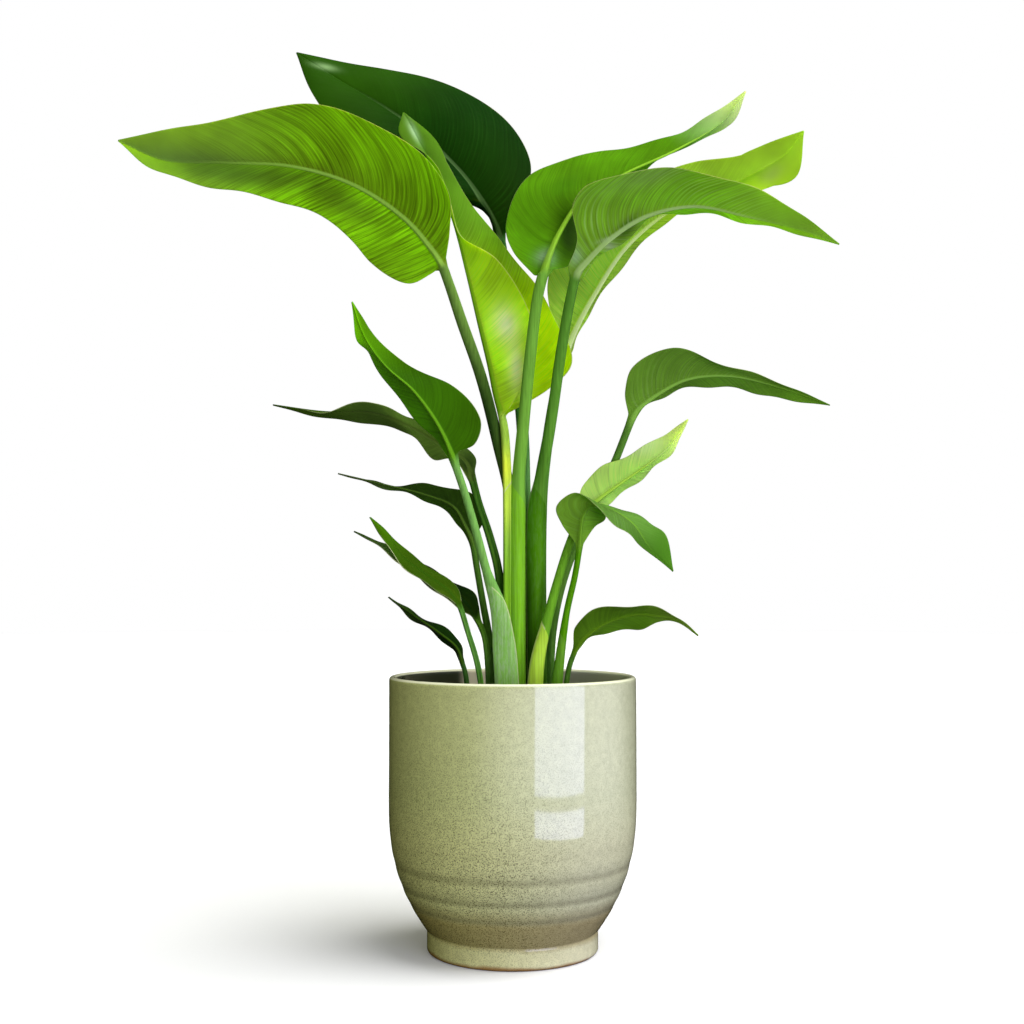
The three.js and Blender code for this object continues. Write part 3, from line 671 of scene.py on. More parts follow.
def add(tree, kind, inputs=(), **settings):
    """Adds a node, sets what it is given, and links the sockets that it is given."""
    made = tree.nodes.new(kind)
    for name, value in settings.items():
        setattr(made, name, value)
    for name, value in dict(inputs).items():
        if isinstance(value, bpy.types.NodeSocket):
            tree.links.new(value, made.inputs[name])
        else:
            made.inputs[name].default_value = value
    return made


def new_material(name):
    material = bpy.data.materials.new(name)
    material.use_nodes = True
    material.node_tree.nodes.clear()
    return material, material.node_tree


def set_stops(ramp, stops):
    """Gives a colour ramp its stops, as place and colour."""
    elements = ramp.color_ramp.elements
    while len(elements) < len(stops):
        elements.new(0.5)
    for element, (place, value) in zip(elements, stops):
        element.position = place
        element.color = value


def scaled(value, factor):
    return tuple(min(1.0, c * factor) for c in value[:3]) + (1.0,)


def leaf_material(name, look, leaf):
    """Living leaf, grown in parallel side veins under a waxy cuticle: it shows fine streaks out from a
    pale midrib, a cream margin, a soft gloss, and light through the blade."""
    material, tree = new_material("living_" + name)
    vein = leaf.vein_spacing / MM
    marks = {
        key: add(tree, "ShaderNodeAttribute", attribute_name=key).outputs["Fac"]
        for key in (
            "vein_run", "from_rib", "from_margin", "upper_side", "blade", "midrib", "toward_tip",
            "above_mouth", "beside", "breadth", "rightward",
        )
    }
    patched = [
        add(tree, "ShaderNodeAttribute", attribute_name=f"patch_{i}").outputs["Fac"]
        for i in range(len(look.patches))
    ]
    place = add(tree, "ShaderNodeTexCoord").outputs["Object"]

    # Streaks half a vein apart that fade along 70 mm, and the main veins themselves
    fine_at = add(
        tree, "ShaderNodeMath", {0: marks["vein_run"], 1: 2 / vein}, operation="MULTIPLY",
    ).outputs[0]
    slow_at = add(tree, "ShaderNodeMath", {0: marks["from_rib"], 1: 1 / 70}, operation="MULTIPLY").outputs[0]
    streak_at = add(tree, "ShaderNodeCombineXYZ", {"X": fine_at, "Y": slow_at}).outputs[0]
    streaks = add(
        tree, "ShaderNodeTexNoise", {"Vector": streak_at, "Scale": 1.0, "Detail": 3.0, "Roughness": 0.6},
    ).outputs["Fac"]
    bend = add(tree, "ShaderNodeMath", {0: streaks, 1: 3.6}, operation="MULTIPLY").outputs[0]
    turns = add(
        tree, "ShaderNodeMath", {0: marks["vein_run"], 1: TAU / vein, 2: bend}, operation="MULTIPLY_ADD",
    ).outputs[0]
    waves = add(tree, "ShaderNodeMath", {0: turns}, operation="SINE").outputs[0]
    lines = add(
        tree, "ShaderNodeMapRange", {"Value": waves, "From Min": 0.3, "From Max": 0.98},
        interpolation_type="SMOOTHSTEP",
    ).outputs[0]
    # Finer streaks 1 mm apart that fade along 40 mm
    finer_at = add(
        tree, "ShaderNodeMath", {0: marks["vein_run"], 1: 5 / vein}, operation="MULTIPLY",
    ).outputs[0]
    along_at = add(tree, "ShaderNodeMath", {0: marks["from_rib"], 1: 1 / 40}, operation="MULTIPLY").outputs[0]
    finer_at = add(tree, "ShaderNodeCombineXYZ", {"X": finer_at, "Y": along_at, "Z": 3.0}).outputs[0]
    finer = add(tree, "ShaderNodeTexNoise", {"Vector": finer_at, "Scale": 1.0, "Detail": 2.0}).outputs["Fac"]
    # Some veins are stronger than their neighbours
    vein_at = add(
        tree, "ShaderNodeMath", {0: marks["vein_run"], 1: 0.8 / vein}, operation="MULTIPLY",
    ).outputs[0]
    vein_at = add(tree, "ShaderNodeCombineXYZ", {"X": vein_at, "Y": slow_at, "Z": 7.0}).outputs[0]
    strong = add(tree, "ShaderNodeTexNoise", {"Vector": vein_at, "Scale": 1.0, "Detail": 1.0}).outputs["Fac"]
    strong = add(
        tree, "ShaderNodeMapRange", {"Value": strong, "From Min": 0.38, "From Max": 0.62, "To Min": 0.2},
    ).outputs[0]
    lines = add(tree, "ShaderNodeMath", {0: lines, 1: strong}, operation="MULTIPLY").outputs[0]
    # Each vein is strong in some stretches of 60 mm and faint in others
    stretch = add(
        tree, "ShaderNodeTexNoise", {"Vector": place, "Scale": 1 / (60 * MM), "Detail": 2.0},
    ).outputs["Fac"]
    clear = add(
        tree, "ShaderNodeMapRange", {"Value": stretch, "From Min": 0.35, "From Max": 0.65, "To Min": 0.25},
    ).outputs[0]
    # They run together near the tip
    parted = add(
        tree, "ShaderNodeMapRange",
        {"Value": marks["toward_tip"], "From Min": 0.55, "From Max": 0.85, "To Min": 1.0, "To Max": 0.0},
    ).outputs[0]
    parted = add(tree, "ShaderNodeMath", {0: parted, 1: marks["breadth"]}, operation="MULTIPLY").outputs[0]
    clear = add(tree, "ShaderNodeMath", {0: clear, 1: parted}, operation="MULTIPLY").outputs[0]
    lines = add(tree, "ShaderNodeMath", {0: lines, 1: clear}, operation="MULTIPLY").outputs[0]
    # Broad patches 45 mm across, older and younger tissue
    patches = add(
        tree, "ShaderNodeTexNoise", {"Vector": place, "Scale": 1 / (45 * MM), "Detail": 2.0},
    ).outputs["Fac"]
    face = add(
        tree, "ShaderNodeMix", {0: marks["upper_side"], 6: look.lower, 7: look.upper}, data_type="RGBA",
    ).outputs[2]
    # The tip's colour, which on leaf_upper_right is a painted highlight and on leaf_upper_left a painted sheen
    along = add(
        tree, "ShaderNodeMath",
        {0: marks["upper_side"], 1: look.lead, 2: marks["toward_tip"]}, operation="MULTIPLY_ADD",
    ).outputs[0]
    old = add(
        tree, "ShaderNodeMapRange",
        {"Value": along, "From Min": look.tip_from, "From Max": min(1.0, look.tip_from + 0.4)},
        interpolation_type="SMOOTHSTEP",
    ).outputs[0]
    face = add(tree, "ShaderNodeMix", {0: old, 6: face, 7: look.tip}, data_type="RGBA").outputs[2]
    # Painted highlights and painted shade, with a few tone changes, laid over the blade
    for mark, spot in zip(patched, look.patches):
        face = add(tree, "ShaderNodeMix", {0: mark, 6: face, 7: spot.colour}, data_type="RGBA").outputs[2]
    swing = look.veining
    light = add(
        tree, "ShaderNodeMapRange",
        {"Value": streaks, "From Min": 0.3, "From Max": 0.7, "To Min": 1 - 0.30 * swing,
         "To Max": 1 + 0.36 * swing},
    ).outputs[0]
    finer = add(
        tree, "ShaderNodeMapRange",
        {"Value": finer, "From Min": 0.3, "From Max": 0.7, "To Min": 0.86 - 0.16 * swing,
         "To Max": 1.14 + 0.18 * swing},
    ).outputs[0]
    light = add(tree, "ShaderNodeMath", {0: light, 1: finer}, operation="MULTIPLY").outputs[0]
    light = add(tree, "ShaderNodeMix", {0: parted, 2: 1.0, 3: light}).outputs[0]
    broad = add(
        tree, "ShaderNodeMapRange",
        {"Value": patches, "From Min": 0.3, "From Max": 0.7, "To Min": 0.88, "To Max": 1.12},
    ).outputs[0]
    tone = add(tree, "ShaderNodeMath", {0: light, 1: broad}, operation="MULTIPLY").outputs[0]
    # Painted light and shade: one half of the blade drawn brighter or darker than the other
    half_shade = add(
        tree, "ShaderNodeMapRange",
        {"Value": marks["rightward"], "To Min": look.left_half_shade, "To Max": look.right_half_shade},
    ).outputs[0]
    tone = add(tree, "ShaderNodeMath", {0: tone, 1: half_shade}, operation="MULTIPLY").outputs[0]
    tissue = add(tree, "ShaderNodeVectorMath", {0: face, "Scale": tone}, operation="SCALE").outputs[0]
    drawn = add(tree, "ShaderNodeMath", {0: lines, 1: swing}, operation="MULTIPLY").outputs[0]
    tissue = add(tree, "ShaderNodeMix", {0: drawn, 6: tissue, 7: look.vein}, data_type="RGBA").outputs[2]

    # Petiole fibres: streaks 1.6 mm apart round it, drawn out along it
    fibre_at = add(
        tree, "ShaderNodeMapping",
        {"Vector": place, "Scale": (1 / (1.6 * MM), 1 / (1.6 * MM), 1 / (60 * MM))},
    ).outputs[0]
    fibres = add(tree, "ShaderNodeTexNoise", {"Vector": fibre_at, "Scale": 1.0, "Detail": 2.0}).outputs["Fac"]
    fibre_tone = add(
        tree, "ShaderNodeMapRange",
        {"Value": fibres, "From Min": 0.3, "From Max": 0.7, "To Min": 0.80, "To Max": 1.20},
    ).outputs[0]
    # Scurf: grey flecks some 2 mm wide and 9 mm long on the old sheaths
    fleck_at = add(
        tree, "ShaderNodeMapping", {"Vector": place, "Scale": (1 / (2 * MM), 1 / (2 * MM), 1 / (9 * MM))},
    ).outputs[0]
    flecks = add(
        tree, "ShaderNodeTexNoise", {"Vector": fleck_at, "Scale": 1.0, "Detail": 5.0, "Roughness": 0.7},
    ).outputs["Fac"]
    flecked = add(
        tree, "ShaderNodeMapRange",
        {"Value": flecks, "From Min": 0.42, "From Max": 0.68, "To Max": look.scurfed},
    ).outputs[0]
    sheath = add(
        tree, "ShaderNodeMix", {0: flecked, 6: look.sheath, 7: leaf.scurf}, data_type="RGBA",
    ).outputs[2]
    wrapped = add(
        tree, "ShaderNodeMapRange",
        {"Value": marks["above_mouth"], "From Min": -0.4, "From Max": 0.4, "To Min": 1.0, "To Max": 0.0},
    ).outputs[0]
    stem = add(tree, "ShaderNodeMix", {0: wrapped, 6: look.petiole, 7: sheath}, data_type="RGBA").outputs[2]
    # Painted highlights and painted shade, with a few tone changes, laid over the stalk
    for mark, spot in zip(patched, look.patches):
        stem = add(tree, "ShaderNodeMix", {0: mark, 6: stem, 7: spot.colour}, data_type="RGBA").outputs[2]
    stem = add(tree, "ShaderNodeVectorMath", {0: stem, "Scale": fibre_tone}, operation="SCALE").outputs[0]
    # The sheath's cream edge: along its mouth, and down the side of a broad sheath
    near = add(tree, "ShaderNodeMath", {0: marks["above_mouth"]}, operation="ABSOLUTE").outputs[0]
    brim = add(
        tree, "ShaderNodeMapRange",
        {"Value": near, "From Min": 0.5, "From Max": 1.4, "To Min": look.brim, "To Max": 0.0},
    ).outputs[0]
    half = add(
        tree, "ShaderNodeMapRange",
        {"Value": marks["beside"], "From Min": 6, "From Max": 7, "To Min": 1.0, "To Max": 0.0},
    ).outputs[0]
    brim = add(tree, "ShaderNodeMath", {0: brim, 1: half}, operation="MULTIPLY").outputs[0]
    side = add(
        tree, "ShaderNodeMapRange",
        {"Value": marks["beside"], "From Min": 1.6, "From Max": 3.2, "To Min": look.sheath_edge,
         "To Max": 0.0},
    ).outputs[0]
    side = add(tree, "ShaderNodeMath", {0: side, 1: wrapped}, operation="MULTIPLY").outputs[0]
    brim = add(tree, "ShaderNodeMath", {0: brim, 1: side}, operation="MAXIMUM").outputs[0]
    stem = add(tree, "ShaderNodeMix", {0: brim, 6: stem, 7: leaf.margin}, data_type="RGBA").outputs[2]
    # The midrib's colour, which on leaf_back_right is a painted highlight along its keel
    ribbed = add(
        tree, "ShaderNodeMapRange",
        {"Value": marks["midrib"], "From Min": 0.25, "From Max": 0.65, "To Max": 0.85},
        interpolation_type="SMOOTHSTEP",
    ).outputs[0]
    fade = add(tree, "ShaderNodeMath", {0: 1.0, 1: old}, operation="SUBTRACT").outputs[0]
    ribbed = add(tree, "ShaderNodeMath", {0: ribbed, 1: fade}, operation="MULTIPLY").outputs[0]
    veined = add(tree, "ShaderNodeMix", {0: ribbed, 6: tissue, 7: look.rib}, data_type="RGBA").outputs[2]
    grown = add(tree, "ShaderNodeMix", {0: marks["blade"], 6: stem, 7: veined}, data_type="RGBA").outputs[2]
    # The cream margin comes and goes every 30 mm or so
    worn = add(tree, "ShaderNodeTexNoise", {"Vector": place, "Scale": 1 / (30 * MM)}).outputs["Fac"]
    pale = add(
        tree, "ShaderNodeMapRange",
        {"Value": worn, "From Min": 0.35, "From Max": 0.6, "To Min": 0.25, "To Max": 0.95},
    ).outputs[0]
    rim = add(
        tree, "ShaderNodeMapRange",
        {"Value": marks["from_margin"], "From Min": 0.4 * look.margin_width / MM,
         "From Max": look.margin_width / MM,
         "To Min": pale, "To Max": 0.0},
    ).outputs[0]
    whole = add(
        tree, "ShaderNodeMapRange",
        {"Value": marks["toward_tip"], "From Min": 0.7, "From Max": 0.9, "To Min": 1.0, "To Max": 0.0},
    ).outputs[0]
    rim = add(tree, "ShaderNodeMath", {0: rim, 1: whole}, operation="MULTIPLY").outputs[0]
    skin = add(tree, "ShaderNodeMix", {0: rim, 6: grown, 7: leaf.margin}, data_type="RGBA").outputs[2]

    # Cuticle: glossier above than below, and pressed in a little along each vein
    gloss = add(
        tree, "ShaderNodeMapRange", {"Value": marks["upper_side"], "To Min": 0.42, "To Max": 0.28},
    ).outputs[0]
    gloss = add(tree, "ShaderNodeMath", {0: patches, 1: 0.14, 2: gloss}, operation="MULTIPLY_ADD").outputs[0]
    height = add(tree, "ShaderNodeMath", {0: lines, 1: -0.5, 2: streaks}, operation="MULTIPLY_ADD").outputs[0]
    height = add(tree, "ShaderNodeMath", {0: height, 1: parted}, operation="MULTIPLY").outputs[0]
    height = add(tree, "ShaderNodeMath", {0: height, 1: marks["blade"]}, operation="MULTIPLY").outputs[0]
    relief = add(
        tree, "ShaderNodeBump", {"Height": height, "Distance": 0.3 * MM, "Strength": 0.2 + 0.3 * swing},
    ).outputs[0]
    surface = add(
        tree, "ShaderNodeBsdfPrincipled",
        {"Base Color": skin, "Roughness": gloss, "IOR": 1.45, "Specular IOR Level": 0.2,
         "Specular Tint": leaf.sheen, "Normal": relief},
    ).outputs[0]
    through = add(
        tree, "ShaderNodeVectorMath", {0: skin, 1: BLADE_FILTER}, operation="MULTIPLY",
    ).outputs[0]
    lit = add(tree, "ShaderNodeBsdfTranslucent", {"Color": through, "Normal": relief}).outputs[0]
    thin = add(tree, "ShaderNodeMath", {0: 1.0, 1: ribbed}, operation="SUBTRACT").outputs[0]
    thin = add(tree, "ShaderNodeMath", {0: thin, 1: marks["blade"]}, operation="MULTIPLY").outputs[0]
    # Under a painted highlight or painted shade the blade lets through little light, so that the painted
    # colour shows
    for mark in patched:
        glow_off_patches = add(
            tree, "ShaderNodeMapRange", {"Value": mark, "To Min": 1.0, "To Max": 0.1},
        ).outputs[0]
        thin = add(tree, "ShaderNodeMath", {0: thin, 1: glow_off_patches}, operation="MULTIPLY").outputs[0]
    thin = add(tree, "ShaderNodeMath", {0: thin, 1: look.glow}, operation="MULTIPLY").outputs[0]
    both = add(tree, "ShaderNodeMixShader", {0: thin, 1: surface, 2: lit}).outputs[0]
    add(tree, "ShaderNodeOutputMaterial", {"Surface": both})
    return material


def glaze_material(pot):
    """Speckled stoneware glaze, dipped and fired: glossy like glass, with iron specks burnt through it,
    paler where it lies thick and brown where it runs thin over the turned ridges."""
    material, tree = new_material("speckled_stoneware_glaze")
    place = add(tree, "ShaderNodeTexCoord").outputs["Object"]
    height = add(tree, "ShaderNodeSeparateXYZ", {0: place}).outputs
    inner = add(tree, "ShaderNodeAttribute", attribute_name="inner_wall").outputs["Fac"]
    hollow = add(tree, "ShaderNodeAttribute", attribute_name="ridge_hollow").outputs["Fac"]
    # The dip line wanders 3 mm up and down around the pot
    wander = add(
        tree, "ShaderNodeTexNoise", {"Vector": place, "Scale": 1 / (60 * MM), "Detail": 3.0},
    ).outputs["Fac"]
    level = add(
        tree, "ShaderNodeMath", {0: wander, 1: 10 * MM, 2: height["Z"]}, operation="MULTIPLY_ADD",
    ).outputs[0]
    level = add(tree, "ShaderNodeMath", {0: level, 1: 1 / (POT_HEIGHT * MM)}, operation="MULTIPLY").outputs[0]
    ramp = add(tree, "ShaderNodeValToRGB", {0: level})
    # Heights as shares of the pot's, which the wander lifts by its own mean
    bands = (
        (0.005, pot.clay), (0.014, pot.foot), (0.06, pot.foot), (0.08, pot.glaze_band),
        (0.16, pot.glaze_band), (0.23, pot.glaze_thin), (0.42, pot.glaze_thin), (0.60, pot.glaze),
    )
    set_stops(ramp, [(up + 0.02, tint) for up, tint in bands] + [(0.99, pot.glaze)])
    outside = ramp.outputs[0]
    thin_run = add(
        tree, "ShaderNodeMix", {0: hollow, 6: outside, 7: pot.glaze_hollow}, data_type="RGBA",
    ).outputs[2]
    # Mottling 7 mm across
    mottle = add(
        tree, "ShaderNodeTexNoise",
        {"Vector": place, "Scale": 1 / (7 * MM), "Detail": 5.0, "Roughness": 0.65},
    ).outputs["Fac"]
    mottle = add(
        tree, "ShaderNodeMapRange",
        {"Value": mottle, "From Min": 0.3, "From Max": 0.7, "To Min": 0.90, "To Max": 1.10},
    ).outputs[0]
    outside = add(tree, "ShaderNodeVectorMath", {0: thin_run, "Scale": mottle}, operation="SCALE").outputs[0]
    # Painted light and shade: warmer on the shaded left, bluer on the lit right, as the light falls on the pot
    ran = add(
        tree, "ShaderNodeMapRange", {"Value": height["X"], "From Min": -90 * MM, "From Max": 90 * MM},
        interpolation_type="SMOOTHSTEP",
    ).outputs[0]
    side_light_tint = add(tree, "ShaderNodeMix", {0: ran, 6: pot.pool, 7: pot.lit_side_tint}, data_type="RGBA").outputs[2]
    outside = add(tree, "ShaderNodeVectorMath", {0: outside, 1: side_light_tint}, operation="MULTIPLY").outputs[0]
    # Specks are 0.5 mm in the real glaze, and drawn twice that so that they show. They are thicker on
    # the lower half, and few on the right and on the foot
    grain = add(
        tree, "ShaderNodeTexNoise",
        {"Vector": place, "Scale": 1 / pot.speck, "Detail": 1.0, "Roughness": 0.5},
    ).outputs["Fac"]
    many = add(
        tree, "ShaderNodeMapRange",
        {"Value": height["Z"], "From Min": 90 * MM, "From Max": 230 * MM, "To Min": 0.85, "To Max": 0.28},
    ).outputs[0]
    fewer = add(
        tree, "ShaderNodeMapRange",
        {"Value": height["X"], "From Min": -10 * MM, "From Max": 60 * MM, "To Min": 1.0, "To Max": 0.45},
    ).outputs[0]
    many = add(tree, "ShaderNodeMath", {0: many, 1: fewer}, operation="MULTIPLY").outputs[0]
    above = add(
        tree, "ShaderNodeMapRange",
        {"Value": height["Z"], "From Min": 14 * MM, "From Max": 24 * MM, "To Min": 0.4, "To Max": 1.0},
    ).outputs[0]
    many = add(tree, "ShaderNodeMath", {0: many, 1: above}, operation="MULTIPLY").outputs[0]
    speck = add(
        tree, "ShaderNodeMapRange", {"Value": grain, "From Min": 0.5, "From Max": 0.66, "To Max": many},
    ).outputs[0]
    outside = add(tree, "ShaderNodeMix", {0: speck, 6: outside, 7: pot.specks}, data_type="RGBA").outputs[2]
    # Inside, painted shade and painted light: the inner wall is darkest on the left and lighter to the right,
    # with a painted patch of light at the back over some 100 mm
    rightward = add(
        tree, "ShaderNodeMapRange", {"Value": height["X"], "From Min": -60 * MM, "From Max": 110 * MM},
    ).outputs[0]
    dark = add(
        tree, "ShaderNodeMix", {0: rightward, 6: pot.inside, 7: pot.lit_inside_right}, data_type="RGBA",
    ).outputs[2]
    sideways = add(tree, "ShaderNodeMath", {0: height["X"], 1: 2 * MM}, operation="SUBTRACT").outputs[0]
    sideways = add(tree, "ShaderNodeMath", {0: sideways}, operation="ABSOLUTE").outputs[0]
    middle = add(
        tree, "ShaderNodeMapRange",
        {"Value": sideways, "From Min": 44 * MM, "From Max": 60 * MM, "To Min": 1.0, "To Max": 0.0},
        interpolation_type="SMOOTHSTEP",
    ).outputs[0]
    behind = add(
        tree, "ShaderNodeMapRange", {"Value": height["Y"], "From Min": 60 * MM, "From Max": 90 * MM},
    ).outputs[0]
    middle = add(tree, "ShaderNodeMath", {0: middle, 1: behind}, operation="MULTIPLY").outputs[0]
    lining = add(tree, "ShaderNodeMix", {0: middle, 6: dark, 7: pot.painted_light_inside}, data_type="RGBA").outputs[2]
    wall = add(tree, "ShaderNodeMix", {0: inner, 6: outside, 7: lining}, data_type="RGBA").outputs[2]
    # Painted highlight: the top of the lip is drawn pale, for the light caught along it
    drawn = add(
        tree, "ShaderNodeMapRange",
        {"Value": height["Z"], "From Min": (POT_HEIGHT - 2.4) * MM, "From Max": (POT_HEIGHT - 1.0) * MM},
        interpolation_type="SMOOTHSTEP",
    ).outputs[0]
    wall = add(tree, "ShaderNodeMix", {0: drawn, 6: wall, 7: pot.lip}, data_type="RGBA").outputs[2]
    # Orange peel of the glaze, 5 mm across and a fiftieth of a millimetre deep
    peel = add(
        tree, "ShaderNodeTexNoise", {"Vector": place, "Scale": 1 / (5 * MM), "Detail": 1.0},
    ).outputs["Fac"]
    skin = add(tree, "ShaderNodeBump", {"Height": peel, "Distance": 0.02 * MM, "Strength": 0.3}).outputs[0]
    glaze = add(
        tree, "ShaderNodeBsdfPrincipled",
        {"Base Color": wall, "Roughness": 0.07, "IOR": 1.52, "Normal": skin},
    ).outputs[0]
    add(tree, "ShaderNodeOutputMaterial", {"Surface": glaze})
    return material


def plastic_material(soil):
    """Polypropylene, injection moulded: an even colour with a faint satin haze and rubbed-in dust."""
    material, tree = new_material("moulded_polypropylene")
    place = add(tree, "ShaderNodeTexCoord").outputs["Object"]
    dust = add(
        tree, "ShaderNodeTexNoise", {"Vector": place, "Scale": 1 / (12 * MM), "Detail": 4.0},
    ).outputs["Fac"]
    dusty = add(
        tree, "ShaderNodeMix", {0: dust, 6: soil.plastic, 7: scaled(soil.plastic, 1.5)}, data_type="RGBA",
    ).outputs[2]
    rough = add(tree, "ShaderNodeMapRange", {"Value": dust, "To Min": 0.42, "To Max": 0.62}).outputs[0]
    skin = add(tree, "ShaderNodeBump", {"Height": dust, "Distance": 0.1 * MM, "Strength": 0.2}).outputs[0]
    plastic = add(
        tree, "ShaderNodeBsdfPrincipled",
        {"Base Color": dusty, "Roughness": rough, "IOR": 1.49, "Normal": skin},
    ).outputs[0]
    add(tree, "ShaderNodeOutputMaterial", {"Surface": plastic})
    return material


def peat_material(soil, name, tint):
    """Peat and composted bark, sieved and damp: matt, dark and fibrous, with paler dry crumbs."""
    material, tree = new_material(name)
    place = add(tree, "ShaderNodeTexCoord").outputs["Object"]
    crumbs = add(
        tree, "ShaderNodeTexNoise",
        {"Vector": place, "Scale": 1 / soil.crumb, "Detail": 6.0, "Roughness": 0.75},
    ).outputs["Fac"]
    ramp = add(tree, "ShaderNodeValToRGB", {0: crumbs})
    set_stops(ramp, [(0.35, scaled(tint, 0.35)), (0.55, tint), (0.72, scaled(tint, 2.2))])
    rough = add(tree, "ShaderNodeMapRange", {"Value": crumbs, "To Min": 0.75, "To Max": 1.0}).outputs[0]
    relief = add(
        tree, "ShaderNodeBump", {"Height": crumbs, "Distance": 1.2 * MM, "Strength": 0.8},
    ).outputs[0]
    peat = add(
        tree, "ShaderNodeBsdfPrincipled",
        {"Base Color": ramp.outputs[0], "Roughness": rough, "Normal": relief},
    ).outputs[0]
    add(tree, "ShaderNodeOutputMaterial", {"Surface": peat})
    return material


# Shapes

def finish_piece(name, bm, material, nodes=()):
    """Closes a mesh into a piece that rides on the plant and stands for its nodes."""
    mesh = bpy.data.meshes.new(name)
    bm.to_mesh(mesh)
    bm.free()
    mesh.polygons.foreach_set("use_smooth", [True] * len(mesh.polygons))
    mesh.materials.append(material)
    made = bpy.data.objects.new(name, mesh)
    bpy.context.scene.collection.objects.link(made)
    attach(made, "root")
    if nodes:
        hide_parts(*nodes)
    return made


def spun(profile, steps):
    """A profile of (radius, height) in millimetres, spun once round the pot's axis and closed."""
    bm = bmesh.new()
    rail = [bm.verts.new((radius * MM, 0, height * MM)) for radius, height in profile]
    edges = [bm.edges.new(pair) for pair in zip(rail, rail[1:])]
    bmesh.ops.spin(
        bm, geom=rail + edges, cent=(0, 0, 0), axis=(0, 0, 1), angle=TAU, steps=steps, use_merge=True,
    )
    bmesh.ops.remove_doubles(bm, verts=bm.verts, dist=1e-6)
    bmesh.ops.recalc_face_normals(bm, faces=bm.faces)
    return bm


def belly_radius(z):
    rise = min(max((z - BELLY_START) / (BELLY_TOP - BELLY_START), 0), 1)
    return BELLY_START_RADIUS + (POT_RADIUS - BELLY_START_RADIUS) * (1 - (1 - rise) ** BELLY_CURVE)


def smooth_step(low, high, value):
    x = np.clip((value - low) / (high - low), 0, 1)
    return x * x * (3 - 2 * x)


def ridge(z):
    """Throwing ridges on the lower half: 1 on a crest and -1 in a hollow, fading out above."""
    strength = smooth_step(28, 44, z) * (1 - smooth_step(76, 122, z))
    return -strength * math.cos(TAU * np.interp(z, RIDGE_HOLLOWS, range(len(RIDGE_HOLLOWS))))


def arc(centre, radius, start, end, steps):
    """Points on part of a circle, from one angle in degrees to another."""
    angles = [math.radians(start + (end - start) * i / steps) for i in range(steps + 1)]
    return [(centre[0] + radius * math.cos(a), centre[1] + radius * math.sin(a)) for a in angles]


def pot_profile(pot):
    lip = POT_WALL / 2
    depth = pot.ridge_depth / MM
    outer = list(np.arange(BELLY_START, POT_HEIGHT - lip, 1.6))
    points = [(0, 4), (FOOT_RADIUS - 12, 4), (FOOT_RADIUS - 9, 0.8)]
    points += arc((FOOT_RADIUS - FOOT_EDGE, FOOT_EDGE), FOOT_EDGE, -90, 0, 6)
    points += [(FOOT_RADIUS, z) for z in (6, 9, 12, FOOT_HEIGHT - 2)]
    points += arc((FOOT_RADIUS - 2.6, FOOT_HEIGHT + 0.4), 2.6, 8, 50, 4)
    points += [(FOOT_RADIUS - FOOT_GROOVE - 0.4, FOOT_HEIGHT + 3.4)]
    points += [(belly_radius(z) + depth * (ridge(z) - 0.4 * (z < BELLY_TOP)), z) for z in outer]
    points += arc((POT_RADIUS - lip, POT_HEIGHT - lip), lip, 0, 180, 12)
    points += [(belly_radius(z) - POT_WALL, z) for z in outer[::-2]]
    points += [(BELLY_START_RADIUS - 9, 15), (BELLY_START_RADIUS - 14, POT_FLOOR), (0, POT_FLOOR)]
    return points


class PLANT_OT_pot(bpy.types.Operator):
    """Throws the glazed pot, with its ridges, foot and lip"""

    bl_idname = "plant.make_pot"
    bl_label = "Glazed pot"

    def execute(self, context):
        pot = context.scene.plant.pot
        bm = spun(pot_profile(pot), POT_STEPS)
        inner = bm.verts.layers.float.new("inner_wall")
        hollow = bm.verts.layers.float.new("ridge_hollow")
        for v in bm.verts:
            radius, z = math.hypot(v.co.x, v.co.y) / MM, v.co.z / MM
            v[inner] = 1.0 if z > POT_FLOOR - 1 and radius < belly_radius(z) - POT_WALL + 1.2 else 0.0
            v[hollow] = 0.0 if v[inner] else 0.6 * max(0.0, -ridge(z)) ** 1.5
            # Thrown by hand, so it is not quite round
            v.co.xy *= 1 - 0.0025 * (0.5 + 0.5 * math.sin(3 * math.atan2(v.co.y, v.co.x) + z / 40))
        finish_piece("glazed_pot", bm, glaze_material(pot), ["pot"])
        return {"FINISHED"}


def grow_pot_profile():
    top = GROW_POT_FLOOR + GROW_POT_HEIGHT
    foot = top - GROW_POT_LIP_DEPTH
    lip = GROW_POT_TOP_RADIUS + GROW_POT_LIP
    slope = GROW_POT_WALL
    return [
        (0, GROW_POT_FLOOR), (GROW_POT_BASE_RADIUS - 2, GROW_POT_FLOOR),
        (GROW_POT_BASE_RADIUS, GROW_POT_FLOOR + 2), (GROW_POT_TOP_RADIUS, foot), (lip - 0.8, foot),
        (lip, foot + 0.8), (lip, top - 1), (lip - 1, top), (lip - slope + 0.4, top), (lip - slope, top - 0.6),
        (GROW_POT_TOP_RADIUS - slope, foot), (GROW_POT_BASE_RADIUS - slope, GROW_POT_FLOOR + slope),
        (0, GROW_POT_FLOOR + slope),
    ]


class PLANT_OT_nursery_pot(bpy.types.Operator):
    """Moulds the nursery pot that stands inside the glazed one"""

    bl_idname = "plant.make_nursery_pot"
    bl_label = "Nursery pot"

    def execute(self, context):
        soil = context.scene.plant.soil
        bm = spun(grow_pot_profile(), GROW_POT_STEPS)
        finish_piece("nursery_pot", bm, plastic_material(soil), ["grow_pot"])
        return {"FINISHED"}


